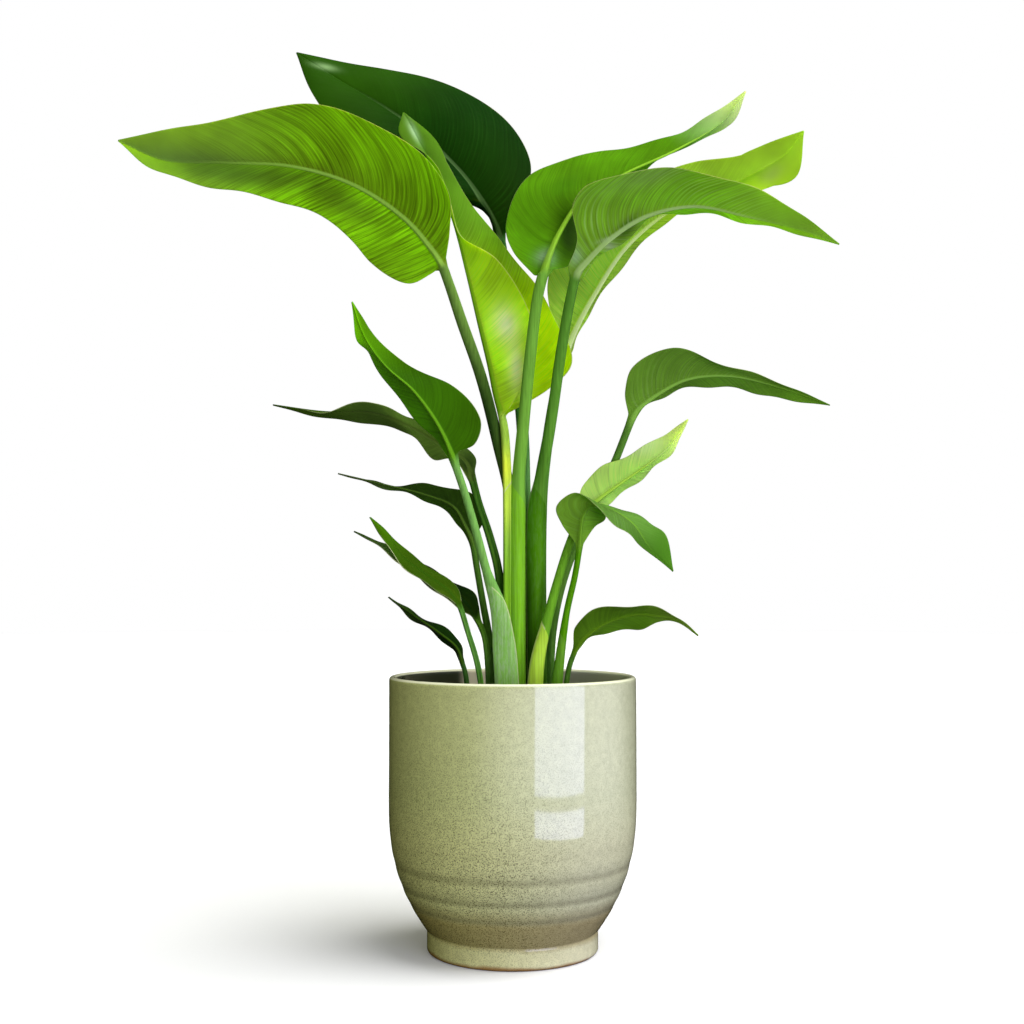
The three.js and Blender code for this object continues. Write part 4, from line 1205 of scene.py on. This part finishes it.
def soil_radius(z):
    foot = GROW_POT_FLOOR + GROW_POT_HEIGHT - GROW_POT_LIP_DEPTH
    rise = (z - GROW_POT_FLOOR - GROW_POT_WALL) / (foot - GROW_POT_FLOOR - GROW_POT_WALL)
    return GROW_POT_BASE_RADIUS + (GROW_POT_TOP_RADIUS - GROW_POT_BASE_RADIUS) * rise - GROW_POT_WALL - 0.3


def soil_height(x, y):
    """Height of the soil at a place in millimetres, with crumbs on its slow ripple."""
    ripple = 1.6 * math.sin(x / 11 + 1) * math.cos(y / 11)
    crumbs = noise.fractal(Vector((x / 5, y / 5, 3.1)), 0.8, 2.1, 4)
    return SOIL_TOP + ripple + 1.3 * crumbs


class PLANT_OT_soil(bpy.types.Operator):
    """Fills in the potting soil, with pieces of bark lying on it"""

    bl_idname = "plant.make_soil"
    bl_label = "Potting soil"

    def execute(self, context):
        soil = context.scene.plant.soil
        floor = GROW_POT_FLOOR + GROW_POT_WALL + 0.3
        rim = soil_radius(SOIL_TOP - 1)
        profile = [(0, floor), (soil_radius(floor), floor), (rim, SOIL_TOP - 1)]
        profile += [(rim * (1 - i / 70), SOIL_TOP) for i in range(1, 71)]
        bm = spun(profile, SOIL_STEPS)
        for v in bm.verts:
            if v.co.z > (SOIL_TOP - 0.5) * MM:
                v.co.z = soil_height(v.co.x / MM, v.co.y / MM) * MM
        peat = peat_material(soil, "damp_peat", soil.peat)
        finish_piece("soil_bed", bm, peat, ["soil"])

        bm = bmesh.new()
        rng = np.random.default_rng(BARK_SEED)
        for i in range(soil.chips):
            angle, radius = rng.uniform(0, TAU), BARK_REACH * math.sqrt(rng.uniform(0, 1))
            x, y = radius * math.cos(angle), radius * math.sin(angle)
            size = soil.chip / MM * rng.uniform(0.35, 1.0)
            made = bmesh.ops.create_icosphere(bm, subdivisions=1, radius=0.5 * MM)["verts"]
            for v in made:
                v.co *= rng.uniform(0.75, 1.2)
            shape = Matrix.Diagonal((size, size * rng.uniform(0.35, 0.7), size * rng.uniform(0.15, 0.4), 1))
            turn = Matrix.Rotation(rng.uniform(0, TAU), 4, "Z")
            tilt = Matrix.Rotation(rng.uniform(-0.4, 0.4), 4, "X")
            put = Matrix.Translation((x * MM, y * MM, (soil_height(x, y) + 0.12 * size) * MM))
            bmesh.ops.transform(bm, matrix=put @ turn @ tilt @ shape, verts=made)
        bark = peat_material(soil, "composted_bark", soil.bark)
        finish_piece("bark_chips", bm, bark)
        return {"FINISHED"}


# Leaves

def spline(points, at):
    """A centripetal curve through points, at places counted in points: positions and directions."""
    points = np.asarray(points, float)
    last = len(points) - 1
    padded = np.vstack([2 * points[0] - points[1], points, 2 * points[-1] - points[-2]])
    first = np.clip(np.floor(at).astype(int), 0, last - 1)
    w = (at - first)[:, None]
    p0, p1, p2, p3 = (padded[first + i] for i in range(4))
    d0, d1, d2 = (
        np.linalg.norm(b - a, axis=1, keepdims=True) ** 0.5 for a, b in ((p0, p1), (p1, p2), (p2, p3))
    )
    t1 = d1 * ((p1 - p0) / d0 - (p2 - p0) / (d0 + d1) + (p2 - p1) / d1)
    t2 = d1 * ((p2 - p1) / d1 - (p3 - p1) / (d1 + d2) + (p3 - p2) / d2)
    c2 = -3 * p1 + 3 * p2 - 2 * t1 - t2
    c3 = 2 * p1 - 2 * p2 + t1 + t2
    return p1 + w * (t1 + w * (c2 + w * c3)), t1 + w * (2 * c2 + 3 * w * c3)


def unit(vectors):
    return vectors / np.maximum(np.linalg.norm(vectors, axis=-1, keepdims=True), 1e-9)


def dot(a, b):
    return np.sum(a * b, axis=-1, keepdims=True)


def leaf_stations(leaf, rows):
    """What the leaf's cross sections need at each row, from the petiole's foot to the tip."""
    stalk, rib, left, right = (np.asarray(leaf[key], float) for key in ("stalk", "rib", "left", "right"))
    neck, last = len(stalk), len(stalk) + len(rib) - 1
    at = np.concatenate([
        np.linspace(0, neck - 0.5, rows // 5, endpoint=False),
        np.linspace(neck - 0.5, neck + 0.5, rows // 10, endpoint=False),
        np.linspace(neck + 0.5, last, rows + 1 - rows // 5 - rows // 10),
    ])
    centre, along = spline(np.vstack([stalk[:, :3], rib]), at)
    along = unit(along)
    edge_at = np.clip(at - neck, 0, None)
    offsets = []
    for edge in (left, right):
        end = rib[-1] + TIP_HALF_WIDTH * unit(edge[-1] - rib[-2])
        points, _ = spline(np.vstack([edge, end]), edge_at * (1 - 1e-9))
        offsets.append(points - np.where((at < neck)[:, None], rib[0], centre))
    # A petiole keeps its side until it nears the blade
    foot = np.array([-1.0 if right[0][0] < left[0][0] else 1.0, 0, 0])
    turn = np.clip(at / neck, 0, 1)[:, None] ** PETIOLE_TURN
    side = foot * (1 - turn) + unit(right[0] - left[0]) * turn
    side = unit(side - along * dot(side, along))
    blade = np.clip((at - neck) / (last - neck), 0, 1)
    if leaf["blunt"]:
        start, *limits = leaf["blunt"]
        taper = np.clip((blade - start) / (1 - start), 0, 0.985)[:, None]
        swell = np.sqrt(1 - taper ** 2) / (1 - taper)
        offsets = [
            offset * (1 + (limit - 1) * (1 - np.exp((1 - swell) / (limit - 1))))
            for offset, limit in zip(offsets, limits)
        ]
    sizes = [np.interp(at, np.arange(neck), stalk[:, k]) for k in (3, 4)]
    sizes = [size + (TIP_HALF_WIDTH - size) * blade for size in sizes]
    steps = np.linalg.norm(np.diff(centre, axis=0), axis=1)
    run = np.concatenate([[0], np.cumsum(steps)])
    run -= np.interp(neck, at, run)
    return {
        "centre": centre, "along": along, "left": offsets[0], "right": offsets[1], "side": side,
        "up": np.cross(side, along), "width": sizes[0][:, None], "depth": sizes[1][:, None],
        "run": run[:, None], "blade": smooth_step(neck - 0.35, neck + 0.12, at)[:, None],
    }


def leaf_points(leaf, settings, look, rows, columns):
    """Places of a leaf's vertices by row and column, in millimetres, with what its material reads.
    Columns run from the left edge over the upper face to the right, and back over the lower face."""
    st = {key: value[:, None, :] for key, value in leaf_stations(leaf, rows).items()}
    half = columns // 2
    index = np.arange(columns + 1)
    across = np.where(index <= half, -1 + 2 * index / half, 3 - 2 * index / half)[None, :, None]
    face = np.where(index <= half, 1.0, -1.0)[None, :, None]
    size = np.abs(across)
    part = size * (0.35 + size * (1.95 - 1.3 * size))
    on_left = across < 0
    reach = np.where(on_left, st["left"], st["right"])
    spread = np.linalg.norm(reach, axis=-1, keepdims=True)
    left_up = unit(np.cross(st["along"], st["left"]))
    right_up = unit(np.cross(st["right"], st["along"]))
    straight = dot(reach, st["along"])
    away = part * np.sqrt(np.maximum(spread ** 2 - straight ** 2, 1e-6))
    lean = 0.5 + 0.5 * np.tanh(np.sign(across) * away / np.minimum(5, 0.2 * spread + 0.1))
    normal = unit(left_up * (1 - lean) + right_up * lean)
    face_up = np.where(on_left, left_up, right_up)
    # Halves that are folded close together bow less, so as not to meet
    across_unit = [unit(st[key] - st["along"] * dot(st[key], st["along"])) for key in ("left", "right")]
    half_fold = np.sqrt(np.maximum(1 - dot(*across_unit), 0) / 2)
    arch = np.minimum(leaf["arch"], FOLD_ARCH * half_fold)
    middle = st["centre"] + part * reach + face_up * arch * spread * 4 * part * (1 - part)

    # Side veins leave the rib almost square near the base and lie ever flatter towards the tip
    length_mm = st["run"][-1, 0, 0]
    aged = np.clip(st["run"] / length_mm, 0, 1)
    slant = 0.1 + 1.1 * aged + 0.8 * aged ** 2
    vein_run = st["run"] + part * straight - slant * away - 0.002 * away ** 2

    thick = settings.thickness / MM
    inner = np.clip(away / 6, 0, 1) * (1 - part ** 8)
    breadth = smooth_step(4, 26, spread)
    pleated = TAU * vein_run / (2 * settings.vein_spacing / MM)
    uneven = 0.55 + 0.45 * np.sin(0.27 * pleated + leaf["seed"])
    pleat = settings.pleat / MM * (np.sin(pleated) * uneven + 0.5 * np.sin(0.61 * pleated)) * inner
    pleat = pleat * breadth * (1 - aged ** 2)
    gap = WAVE_LENGTH * min(1, 0.4 + 0.6 * length_mm / 400)
    phase = TAU * st["run"] / gap + leaf["seed"] + 0.9 * np.sign(across)
    wave = settings.wave / MM * np.sin(phase) * part ** 2
    wave = leaf["wave"] * wave * smooth_step(0, 0.15, aged) * (1 - smooth_step(0.75, 1, aged))
    round_edge = np.sqrt(np.maximum(1 - part ** 28, 0))
    ridge_at = np.exp(-(away / (0.8 * st["width"])) ** 2)
    above = 0.5 * thick * round_edge - 0.30 * st["depth"] * ridge_at
    below = 0.5 * thick * round_edge + (np.maximum(st["depth"], 0.5 * thick) - 0.5 * thick) * ridge_at
    blade = middle + normal * (pleat + wave + np.where(face > 0, above, -below))

    # The petiole is round below, with a channel along its upper side
    angle = 0.5 * math.pi * (1 - across) * face
    dip = 1 - settings.channel * np.exp(-(across / 0.38) ** 2) * (face > 0)
    petiole = st["centre"] + st["side"] * st["width"] * np.cos(angle)
    petiole = petiole + st["up"] * st["depth"] * np.sin(angle) * dip
    points = petiole + (blade - petiole) * st["blade"]

    shape = points.shape[:2]
    far_side = (st["side"][..., :1] * across * look.edge_side < 0) * 30
    # The sheath's mouth slants across the petiole
    slope = 1.9 * st["width"] * across - 0.2 * st["width"] * across ** 2
    marks = {
        "vein_run": vein_run,
        "from_rib": away,
        "from_margin": spread * (1 - part) + 20 * (1 - st["blade"]),
        "upper_side": 0.5 + 0.5 * face * np.minimum(1, spread * (1 - part)),
        "blade": st["blade"],
        "midrib": ridge_at,
        "toward_tip": aged,
        "above_mouth": points[..., 2:] - look.mouth / MM - slope,
        "beside": st["width"] * (1 - size) + far_side,
        "breadth": breadth,
        "rightward": 0.5 + 0.5 * np.tanh(across * spread / 2),
    }
    # Where the painted highlights, painted shade and tone changes lie
    for i, spot in enumerate(look.patches):
        right, up = points[..., :1] - spot.x / MM, points[..., 2:] - spot.z / MM
        long_way = (right * math.cos(spot.turn) + up * math.sin(spot.turn)) * MM / spot.half_width
        short_way = (up * math.cos(spot.turn) - right * math.sin(spot.turn)) * MM / spot.half_height
        marks[f"patch_{i}"] = spot.strength * np.exp(-(long_way ** 2 + short_way ** 2))
    return points, {key: np.broadcast_to(value[..., 0], shape) for key, value in marks.items()}


def make_leaf(name, leaf, settings, look, rows, columns):
    """Grows one leaf on a grid that is wrapped round its sections, and closes its seam and ends."""
    bm = bmesh.new()
    bmesh.ops.create_grid(bm, x_segments=columns, y_segments=rows, size=1)
    mesh = bpy.data.meshes.new(name + "_grid")
    bm.to_mesh(mesh)
    bm.free()
    flat = np.empty(len(mesh.vertices) * 3, np.float32)
    mesh.vertices.foreach_get("co", flat)
    flat = flat.reshape(-1, 3)
    column = np.rint((flat[:, 0] + 1) / 2 * columns).astype(int)
    row = np.rint((flat[:, 1] + 1) / 2 * rows).astype(int)
    points, marks = leaf_points(leaf, settings, look, rows, columns)
    mesh.vertices.foreach_set("co", (points[row, column] * MM).astype(np.float32).ravel())
    for key, values in marks.items():
        layer = mesh.attributes.new(key, "FLOAT", "POINT")
        layer.data.foreach_set("value", values[row, column].astype(np.float32))
    bm = bmesh.new()
    bm.from_mesh(mesh)
    bpy.data.meshes.remove(mesh)
    bmesh.ops.remove_doubles(bm, verts=bm.verts, dist=1e-6)
    bmesh.ops.holes_fill(bm, edges=[e for e in bm.edges if e.is_boundary], sides=0)
    bmesh.ops.recalc_face_normals(bm, faces=bm.faces)
    material = leaf_material(name, look, settings)
    return finish_piece(name.replace("leaf_", "living_leaf_"), bm, material, [name])


def grow_leaves(context, names, rows, columns):
    plant = context.scene.plant
    for name in names:
        leaf = {**LEAVES[name], "seed": 1.7 * list(LEAVES).index(name), "blunt": BLUNT_TIPS.get(name)}
        leaf["wave"] = CALM_MARGINS.get(name, 1.0)
        make_leaf(name, leaf, plant.leaf, plant.looks[name], rows, columns)


class PLANT_OT_tall_leaves(bpy.types.Operator):
    """Grows the six tall leaves"""

    bl_idname = "plant.grow_tall_leaves"
    bl_label = "Tall leaves"

    def execute(self, context):
        grow_leaves(context, TALL, *TALL_GRID)
        return {"FINISHED"}


class PLANT_OT_short_leaves(bpy.types.Operator):
    """Grows the ten short leaves round them"""

    bl_idname = "plant.grow_short_leaves"
    bl_label = "Short leaves"

    def execute(self, context):
        grow_leaves(context, [name for name in LEAVES if name not in TALL], *SHORT_GRID)
        return {"FINISHED"}


# Studio

def area_light(name, place, target, width, height, power, tint, seen_by):
    """A rectangular light, kept to glossy reflections or out of them."""
    light = bpy.data.lights.new(name, "AREA")
    light.shape = "RECTANGLE"
    light.size, light.size_y = width * MM, height * MM
    light.energy = power
    light.color = tint
    made = bpy.data.objects.new(name, light)
    made.location = Vector(place) * MM
    made.rotation_euler = (Vector(target) - Vector(place)).to_track_quat("-Z", "Y").to_euler()
    made.visible_camera = False
    made.visible_glossy = seen_by != "MATT"
    made.visible_diffuse = made.visible_transmission = seen_by != "GLOSS"
    bpy.context.scene.collection.objects.link(made)
    return made


class PLANT_OT_stage(bpy.types.Operator):
    """Sets up the pale floor, the soft light and the photograph's camera"""

    bl_idname = "plant.set_stage"
    bl_label = "Studio"

    def execute(self, context):
        stage = context.scene.plant.stage
        bm = bmesh.new()
        bmesh.ops.create_circle(bm, cap_ends=True, segments=96, radius=FLOOR_RADIUS)
        bmesh.ops.translate(bm, verts=bm.verts, vec=(0, 0, -0.1 * MM))
        mesh = bpy.data.meshes.new("pale_floor")
        bm.to_mesh(mesh)
        bm.free()
        floor = bpy.data.objects.new("pale_floor", mesh)
        material, tree = new_material("matt_paper_floor")
        # The floor is white to the camera and dim in what it throws back. In reflections it is dark,
        # but for the side that the windows stand on
        path = add(tree, "ShaderNodeLightPath").outputs
        place = add(tree, "ShaderNodeTexCoord").outputs["Object"]
        toward = add(tree, "ShaderNodeVectorMath", {0: place}, operation="NORMALIZE").outputs["Vector"]
        facing = add(
            tree, "ShaderNodeVectorMath", {0: toward, 1: GLEAM_SIDE}, operation="DOT_PRODUCT",
        ).outputs["Value"]
        gleam = add(
            tree, "ShaderNodeMapRange",
            {"Value": facing, "From Min": 0.05, "From Max": 0.85, "To Max": stage.gleam},
            interpolation_type="SMOOTHSTEP",
        ).outputs[0]
        distance = add(tree, "ShaderNodeVectorMath", {0: place}, operation="LENGTH").outputs["Value"]
        clear = add(
            tree, "ShaderNodeMapRange", {"Value": distance, "From Min": 0.4, "From Max": 1.5},
        ).outputs[0]
        gleam = add(tree, "ShaderNodeMath", {0: gleam, 1: clear}, operation="MULTIPLY").outputs[0]
        white, grey = (
            add(
                tree, "ShaderNodeBsdfPrincipled",
                {"Base Color": shade, "Roughness": 0.9, "Specular IOR Level": 0.1,
                 "Emission Color": stage.floor, "Emission Strength": strength},
            ).outputs[0]
            for shade, strength in ((stage.floor, 0.08), (stage.bounce, 0.0))
        )
        glossy = add(tree, "ShaderNodeEmission", {"Color": stage.floor, "Strength": gleam}).outputs[0]
        dim = add(tree, "ShaderNodeMixShader", {0: path["Is Glossy Ray"], 1: grey, 2: glossy}).outputs[0]
        paper = add(tree, "ShaderNodeMixShader", {0: path["Is Camera Ray"], 1: dim, 2: white}).outputs[0]
        add(tree, "ShaderNodeOutputMaterial", {"Surface": paper})
        mesh.materials.append(material)
        context.scene.collection.objects.link(floor)

        world = bpy.data.worlds.new("white_room")
        context.scene.world = world
        world.use_nodes = True
        tree = world.node_tree
        tree.nodes.clear()
        path = add(tree, "ShaderNodeLightPath").outputs
        # The room is brightest in front on the right, dark at the back on the left, and dim in reflections
        toward = add(tree, "ShaderNodeTexCoord").outputs["Generated"]
        facing = add(
            tree, "ShaderNodeVectorMath", {0: toward, 1: BRIGHT_SIDE}, operation="DOT_PRODUCT",
        ).outputs["Value"]
        near = add(tree, "ShaderNodeMapRange", {"Value": facing, "From Min": -1.0}).outputs[0]
        near = add(tree, "ShaderNodeMath", {0: near, 1: 2.0}, operation="POWER").outputs[0]
        strength = add(
            tree, "ShaderNodeMapRange", {"Value": near, "To Min": stage.dark_side, "To Max": stage.room},
        ).outputs[0]
        dimmed = add(
            tree, "ShaderNodeMapRange", {"Value": path["Is Glossy Ray"], "To Min": 1.0, "To Max": 0.35},
        ).outputs[0]
        strength = add(tree, "ShaderNodeMath", {0: strength, 1: dimmed}, operation="MULTIPLY").outputs[0]
        shade = add(
            tree, "ShaderNodeMix", {0: near, 6: DARK_SIDE_TINT, 7: DAYLIGHT}, data_type="RGBA",
        ).outputs[2]
        room = add(tree, "ShaderNodeBackground", {"Color": shade, "Strength": strength}).outputs[0]
        white = add(tree, "ShaderNodeBackground", {"Color": (1, 1, 1, 1), "Strength": 1.0}).outputs[0]
        both = add(tree, "ShaderNodeMixShader", {0: path["Is Camera Ray"], 1: room, 2: white}).outputs[0]
        add(tree, "ShaderNodeOutputWorld", {"Surface": both})

        key = bpy.data.lights.new("high_key", "SUN")
        key.energy = stage.key
        key.angle = math.radians(KEY_ANGLE)
        sun = bpy.data.objects.new("high_key", key)
        sun.visible_glossy = False
        sun.rotation_euler = Vector(KEY_WAY).to_track_quat("-Z", "Y").to_euler()
        context.scene.collection.objects.link(sun)
        for name, lamp in LAMPS.items():
            area_light(name, *lamp)

        camera = bpy.data.cameras.new("photograph_view")
        camera.sensor_width = SENSOR_WIDTH
        camera.lens = SENSOR_WIDTH * FOCAL_SHARE
        camera.clip_end = VIEW_END
        view = bpy.data.objects.new("photograph_view", camera)
        view.location = Vector(CAMERA_PLACE) * MM
        view.rotation_euler = (math.radians(90 + CAMERA_TILT), 0, 0)
        context.scene.collection.objects.link(view)
        context.scene.camera = view
        context.scene.view_settings.view_transform = "Standard"
        return {"FINISHED"}


class PLANT_PT_panel(bpy.types.Panel):
    """Lists the steps that build the plant"""

    bl_idname = "PLANT_PT_panel"
    bl_label = "Potted plant"
    bl_space_type = "VIEW_3D"
    bl_region_type = "UI"
    bl_category = "Plant"

    def draw(self, context):
        for step in STEPS:
            self.layout.operator(step.bl_idname)


STEPS = (
    PLANT_OT_pot, PLANT_OT_nursery_pot, PLANT_OT_soil,
    PLANT_OT_tall_leaves, PLANT_OT_short_leaves, PLANT_OT_stage,
)
CLASSES = (
    PotSettings, SoilSettings, LeafSettings, LeafPatch, LeafLook, StageSettings, PlantSettings,
    *STEPS, PLANT_PT_panel,
)


def register():
    for each in CLASSES:
        bpy.utils.register_class(each)
    bpy.types.Scene.plant = PointerProperty(type=PlantSettings)


def unregister():
    del bpy.types.Scene.plant
    for each in reversed(CLASSES):
        bpy.utils.unregister_class(each)


def fill_looks(plant):
    """Gives each leaf its own colours to start from."""
    for name, (*colours, glow, veining, mouth, tip_from) in LEAF_COLOURS.items():
        look = plant.looks.add()
        look.name = name
        look.brim, look.edge_side, look.sheath_edge = SHEATH_EDGES.get(name, (0.0, 0, 0.0))
        look.scurfed = SCURFED.get(name, 0.08)
        look.lead = UPPER_LEADS.get(name, 0.0)
        look.left_half_shade, look.right_half_shade = PAINTED_HALF_SHADE.get(name, (1.0, 1.0))
        look.margin_width = WIDE_MARGINS.get(name, 0.7) * MM
        for part, code in zip(("upper", "lower", "tip", "rib", "petiole", "sheath"), colours):
            setattr(look, part, linear(code))
        look.vein = linear(PALE_VEINS[name]) if name in PALE_VEINS else scaled(linear(colours[1]), 0.4)
        for *place, turn, strength, code in LIGHT_SHADE_AND_TONE_PATCHES.get(name, ()):
            spot = look.patches.add()
            spot.x, spot.z, spot.half_width, spot.half_height = (value * MM for value in place)
            spot.turn, spot.strength, spot.colour = math.radians(turn), strength, linear(code)
        look.glow, look.veining, look.mouth, look.tip_from = glow, veining, mouth * MM, tip_from


def main():
    register()
    fill_looks(bpy.context.scene.plant)
    bpy.ops.plant.make_pot()
    bpy.ops.plant.make_nursery_pot()
    bpy.ops.plant.make_soil()
    bpy.ops.plant.grow_tall_leaves()
    bpy.ops.plant.grow_short_leaves()
    bpy.ops.plant.set_stage()


if __name__ == "__main__":
    main()
